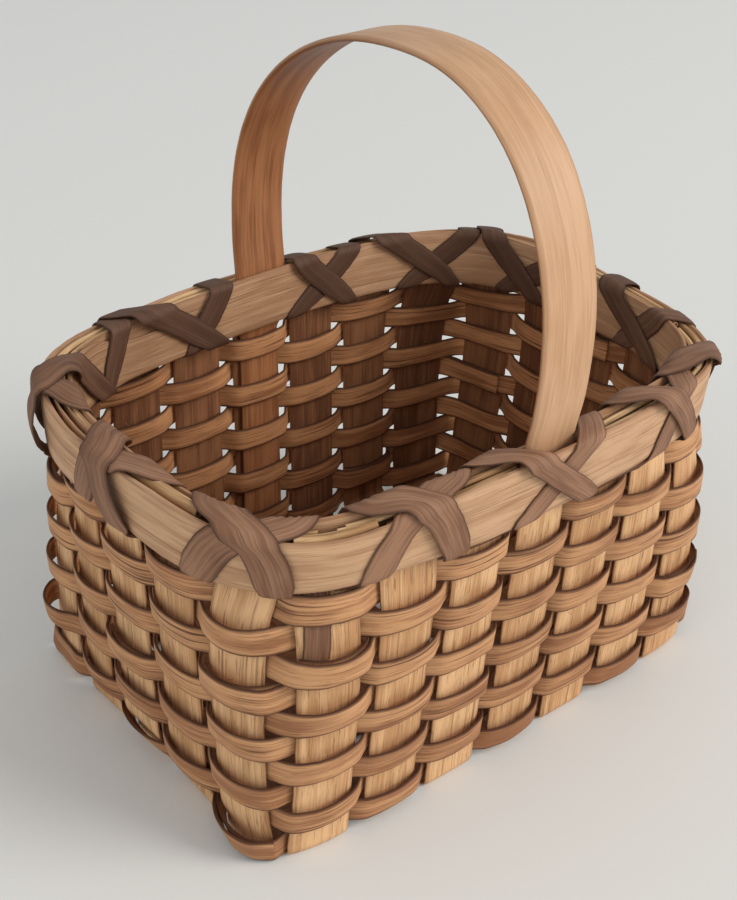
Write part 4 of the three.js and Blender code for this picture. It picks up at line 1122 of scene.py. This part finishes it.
for name, runs, node, laid, seed in (
    ("lashing_under_strip", lashing_runs(1, PASSES_FORWARD, 0.1), "lashing_under", lay_on_rim, 61),
    ("lashing_over_strip", lashing_runs(-1, PASSES_BACK, -0.2), "lashing_over", lay_on_rim, 62),
    ("lashing_loose_end", [tail_run(*LASHING_TAIL)], "lashing_over", None, 63),
):
    grow(name, runs, lashing_finish, node, "lashing_splint", step=0.4, laid=laid,
         Ripple_Height=0.0001, Edge_Fray=0.00022, Seed=seed)

# Stalks lie end to end in lanes between the hoops: where each starts and ends, its lane, its size
# and how far it lies above its usual height
OUTER_STALKS = (
    (6.7, 11.2, 0.45, 0.62, 0.0), (11.3, 16.4, 0.45, 0.6, 0.0), (16.6, 20.2, 0.5, 0.6, 0.0),
    (22.45, 23.1, 0.75, 0.35, -0.3), (24.62, 25.5, 0.35, 0.85, 0.0), (25.72, 27.4, 0.5, 0.6, -0.5),
    (28.6, 30.4, 0.5, 0.55, -0.3), (25.1, 25.9, -0.75, 0.4, 0.1), (22.35, 22.75, 0.1, 0.3, -0.1),
)
RIGHT_STALKS = (
    (4.75, 8.3, -1.15, 0.55, -0.2), (8.4, 12.2, -1.2, 0.6, 0.0), (12.3, 15.3, -1.1, 0.6, 0.0),
)
LEFT_STALKS = (
    (16.6, 19.4, -1.15, 0.6, 0.0), (20.2, 21.9, -1.6, 0.6, -0.3), (22.3, 23.5, -0.6, 1.25, -0.3),
    (23.9, 24.9, -1.5, 0.5, -0.5), (25.2, 27.4, -1.15, 0.6, -0.3),
)

# Offcuts: where each starts and ends, how far out it lies there, and its low and high edge
SLIVERS = (
    (18.6, 21.6, (0.95, 0.2), 67.0, 69.1),
    (19.4, 21.9, (-0.7, -1.2), 66.8, 69.1),
    (20.0, 22.3, (-1.9, -1.7), 67.4, 69.3),
)


def stalk_runs(stalks, seed):
    runs = []
    for index, (start, end, out, radius, above) in enumerate(stalks):
        height = STAKE_TOP + CLEARANCE + radius + above + RIM_SWAY * math.sin(seed + index * 2.2)
        runs.append(stalk_run(start, end, out, height, radius, seed + index))
    return runs


for side, stalks, seed in (
    ("outer", OUTER_STALKS, 3), ("right", RIGHT_STALKS, 23), ("left", LEFT_STALKS, 43),
):
    grow(side + "_stalks", stalk_runs(stalks, seed), grass_finish, side + "_strand", "rim_grass",
         Round=True, Section_Points=10, Ripple_Height=0.0001, Edge_Fray=0.0)
grow("rim_slivers", [sliver_run(*sliver, i + 5) for i, sliver in enumerate(SLIVERS)], hoop_finish,
     "left_strand", "hoop_splint", step=0.5, Edge_Fray=0.0002, Ripple_Height=0.0002, Seed=81)
grow("bow_handle", [handle_run()], handle_finish, "handle", "handle_splint", Section_Points=30,
     Ripple_Height=0.0003, Ripple_Length=0.03, Edge_Fray=0.0001, Edge_Ease=0.7, Seed=71)

# Floor, light and camera
floor_mesh = bpy.data.meshes.new("floor")
floor_mesh.from_pydata([(-3, -3, 0), (3, -3, 0), (3, 3, 0), (-3, 3, 0)], [], [(0, 1, 2, 3)])
floor = bpy.data.objects.new("floor", floor_mesh)
bpy.context.scene.collection.objects.link(floor)
floor_material = bpy.data.materials.new("pale_floor")
floor_material.use_nodes = True
floor_shader = floor_material.node_tree.nodes["Principled BSDF"]
floor_shader.inputs["Base Color"].default_value = linear(226, 225, 221)
floor_shader.inputs["Roughness"].default_value = 0.9
floor_shader.inputs["Specular IOR Level"].default_value = 0.1
floor_mesh.materials.append(floor_material)

world = bpy.data.worlds.new("soft_room")
bpy.context.scene.world = world
world.use_nodes = True
sky = world.node_tree.nodes["Background"]
sky.inputs["Color"].default_value = (0.93, 0.97, 1.0, 1.0)
sky.inputs["Strength"].default_value = 0.57


def soft_lamp(name, place, size, power, colour):
    lamp = bpy.data.lights.new(name, "AREA")
    lamp.shape = "DISK"
    lamp.size = size
    lamp.energy = power
    lamp.color = colour
    holder = bpy.data.objects.new(name, lamp)
    holder.location = place
    holder.rotation_mode = "QUATERNION"
    holder.rotation_quaternion = (-Vector(place)).to_track_quat("-Z", "Y")
    bpy.context.scene.collection.objects.link(holder)


soft_lamp("window_light", (1.12, -1.39, 1.12), 1.36, 28.3, (1.0, 0.97, 0.93))
soft_lamp("room_light", (-0.95, -0.35, 0.7), 1.1, 2.4, (1.0, 0.98, 0.96))

CAMERA_EYE = Vector((-0.177965, -0.196640, 0.212939))
CAMERA_AZIMUTH = math.radians(-41.53)
CAMERA_ELEVATION = math.radians(32.08)
CAMERA_ROLL = math.radians(2.756)
PICTURE_LONG_SIDE = 900
LENS_PIXELS = 1593.98
SENSOR_WIDTH = 36.0
camera_turn = (
    Matrix.Rotation(CAMERA_AZIMUTH, 3, "Z") @ Matrix.Rotation(math.pi / 2 - CAMERA_ELEVATION, 3, "X")
    @ Matrix.Rotation(CAMERA_ROLL, 3, "Z")
)
camera_data = bpy.data.cameras.new("photo_view")
camera_data.sensor_width = SENSOR_WIDTH
camera_data.lens = SENSOR_WIDTH * LENS_PIXELS / PICTURE_LONG_SIDE
camera_data.clip_start = 0.01
camera_data.clip_end = 20.0
camera = bpy.data.objects.new("photo_view", camera_data)
camera.matrix_world = Matrix.LocRotScale(CAMERA_EYE, camera_turn.to_quaternion(), None)
bpy.context.scene.collection.objects.link(camera)
bpy.context.scene.camera = camera
bpy.context.scene.view_settings.view_transform = "Standard"
